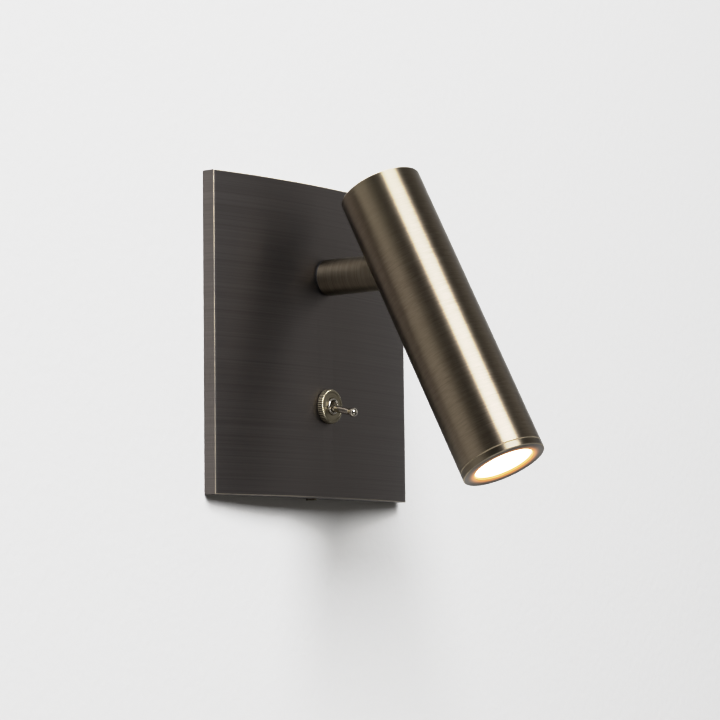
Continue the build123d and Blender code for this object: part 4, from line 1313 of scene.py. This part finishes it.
def makeStageMaterial(name, colour, scale, depth):
    material, tree, shader = newMaterial(name)
    coordinates = addNode(tree, "ShaderNodeTexCoord")
    noise = addNode(tree, "ShaderNodeTexNoise", {"Scale": scale, "Detail": 5.0})
    tree.links.new(coordinates.outputs["Object"], noise.inputs["Vector"])
    shader.inputs["Base Color"].default_value = (*colour, 1)
    shader.inputs["Roughness"].default_value = 0.85
    shader.inputs["Specular IOR Level"].default_value = 0.2
    addBump(tree, shader, noise.outputs[0], depth)
    clear = addNode(tree, "ShaderNodeBsdfTransparent")
    surface = addNode(tree, "ShaderNodeNewGeometry")
    mixed = addNode(tree, "ShaderNodeMixShader")
    tree.links.new(surface.outputs["Backfacing"], mixed.inputs[0])
    tree.links.new(shader.outputs[0], mixed.inputs[1])
    tree.links.new(clear.outputs[0], mixed.inputs[2])
    tree.links.new(mixed.outputs[0], tree.nodes["Material Output"].inputs[0])
    return material


def buildStage(settings):
    middle = (0, settings["wallPlace"], 0)
    deselectAll()
    bpy.ops.mesh.primitive_plane_add(
        size=settings["hole"], location=middle, rotation=(math.pi / 2, 0, 0)
    )
    wall = bpy.context.object
    wall.name = "backdropWall"
    freeze(wall)
    # The hole is made first, and the wall grows outwards from its rim
    editing(wall)
    bpy.ops.mesh.select_mode(type="EDGE")
    bpy.ops.mesh.select_all(action="SELECT")
    bpy.ops.mesh.extrude_edges_move(TRANSFORM_OT_translate={"value": (0, 0, 0)})
    share = settings["wallSize"] / settings["hole"]
    bpy.ops.transform.resize(value=(share, 1, share), center_override=middle)
    doneEditing()
    # The board ends a little way to the left of the lamp
    pick(wall, "VERT", lambda point, normal: point.x < -1000)
    bpy.ops.transform.translate(value=(settings["wallSize"] / 2 + settings["wallLeft"], 0, 0))
    doneEditing()
    half = settings["hole"] / 2 / mm
    pick(wall, "FACE", lambda point, normal: abs(point.x) < half / 2 and abs(point.z) < half / 2)
    bpy.ops.mesh.delete(type="FACE")
    doneEditing()
    editing(wall)
    bpy.ops.mesh.normals_make_consistent(inside=False)
    doneEditing()
    if wall.data.polygons[0].normal.y > 0:
        editing(wall)
        bpy.ops.mesh.flip_normals()
        doneEditing()
    dress(wall, makeStageMaterial("wallPaint", settings["wallColour"], *settings["wallGrain"]))
    deselectAll()
    size = settings["floorSize"]
    bpy.ops.mesh.primitive_plane_add(size=size, location=(0, -size / 2, settings["floorHeight"]))
    floor = bpy.context.object
    floor.name = "backdropFloor"
    freeze(floor)
    dress(floor, makeStageMaterial("floorPaint", settings["floorColour"], *settings["floorGrain"]))
    # The floor throws no light back, as in a large dark studio
    floor.visible_diffuse = False
    floor.visible_glossy = False


buildStage(stageSettings)


# Light: the key is a wide soft box up and to the left, a weaker one stands on the right, one
# lifts the undersides and two light the wall's far side, in a faint room
softBoxes = {
    "key": {
        "azimuth": -23.2,
        "elevation": 33.0,
        "distance": 2.0,
        "size": (1.42, 1.3),
        "radiance": 18.1,
        "tint": (0.94, 0.99, 1.08),
    },
    "side": {
        "azimuth": 52.0,
        "elevation": 12.0,
        "distance": 2.5,
        "size": (2.6, 2.4),
        "radiance": 0.46,
    },
    "behind": {
        "azimuth": 200.0,
        "elevation": 25.0,
        "distance": 2.0,
        "size": (1.6, 1.2),
        "radiance": 4.0,
    },
    "below": {
        "azimuth": 160.0,
        "elevation": -20.0,
        "distance": 2.0,
        "size": (1.2, 1.2),
        "radiance": 1.5,
    },
    "lift": {
        "azimuth": -20.0,
        "elevation": -45.0,
        "distance": 2.0,
        "size": (1.5, 1.0),
        "radiance": 0.9,
    },
}
roomSettings = {"low": 0.035, "high": 0.08, "foot": -0.2, "top": 0.7, "seen": 1.1}


def addSoftBox(name, settings):
    azimuth, elevation = math.radians(settings["azimuth"]), math.radians(settings["elevation"])
    level = math.cos(elevation)
    outward = Vector((math.sin(azimuth) * level, -math.cos(azimuth) * level, math.sin(elevation)))
    wide, tall = settings["size"]
    deselectAll()
    bpy.ops.object.light_add(type="AREA", location=outward * settings["distance"])
    lamp = bpy.context.object
    lamp.name = name
    lamp.rotation_euler = outward.to_track_quat("Z", "Y").to_euler()
    lamp.data.shape = "RECTANGLE"
    lamp.data.size = wide
    lamp.data.size_y = tall
    lamp.data.color = settings.get("tint", (1, 1, 1))
    lamp.data.energy = settings["radiance"] * math.pi * wide * tall


for label, box in softBoxes.items():
    addSoftBox(label + "Light", box)


def buildWorld(settings):
    # The room is dark below and a little brighter above
    world = bpy.data.worlds.new("studioRoom")
    bpy.context.scene.world = world
    world.use_nodes = True
    tree = world.node_tree
    coordinates = addNode(tree, "ShaderNodeTexCoord")
    parts = addNode(tree, "ShaderNodeSeparateXYZ")
    tree.links.new(coordinates.outputs["Generated"], parts.inputs[0])
    limits = {
        "From Min": settings["foot"],
        "From Max": settings["top"],
        "To Min": settings["low"],
        "To Max": settings["high"],
    }
    spread = addNode(tree, "ShaderNodeMapRange", limits, interpolation_type="SMOOTHSTEP")
    tree.links.new(parts.outputs[2], spread.inputs["Value"])
    # Past the edges of the board the camera sees a pale backdrop
    path = addNode(tree, "ShaderNodeLightPath")
    seen = addNode(tree, "ShaderNodeMapRange", {"To Max": settings["seen"]})
    tree.links.new(path.outputs["Is Camera Ray"], seen.inputs["Value"])
    tree.links.new(spread.outputs[0], seen.inputs["To Min"])
    background = tree.nodes["Background"]
    background.inputs[0].default_value = (1, 1, 1, 1)
    tree.links.new(seen.outputs[0], background.inputs[1])


# Tones stay straight up to middle grey and bend over gently towards white
toneSettings = {
    "whiteLevel": 2.0,
    "points": (
        (0.1, 0.2),
        (0.2, 0.42),
        (0.3, 0.65),
        (0.4, 0.755),
        (0.5, 0.815),
        (0.6, 0.855),
        (0.8, 0.93),
    ),
}


def setTones(settings):
    view = bpy.context.scene.view_settings
    view.view_transform = "Standard"
    view.look = "None"
    view.use_curve_mapping = True
    mapping = view.curve_mapping
    mapping.white_level = (settings["whiteLevel"],) * 3
    curve = mapping.curves[3]
    for across, up in settings["points"]:
        curve.points.new(across, up)
    mapping.update()


buildWorld(roomSettings)
setTones(toneSettings)
print("stage and lights set")
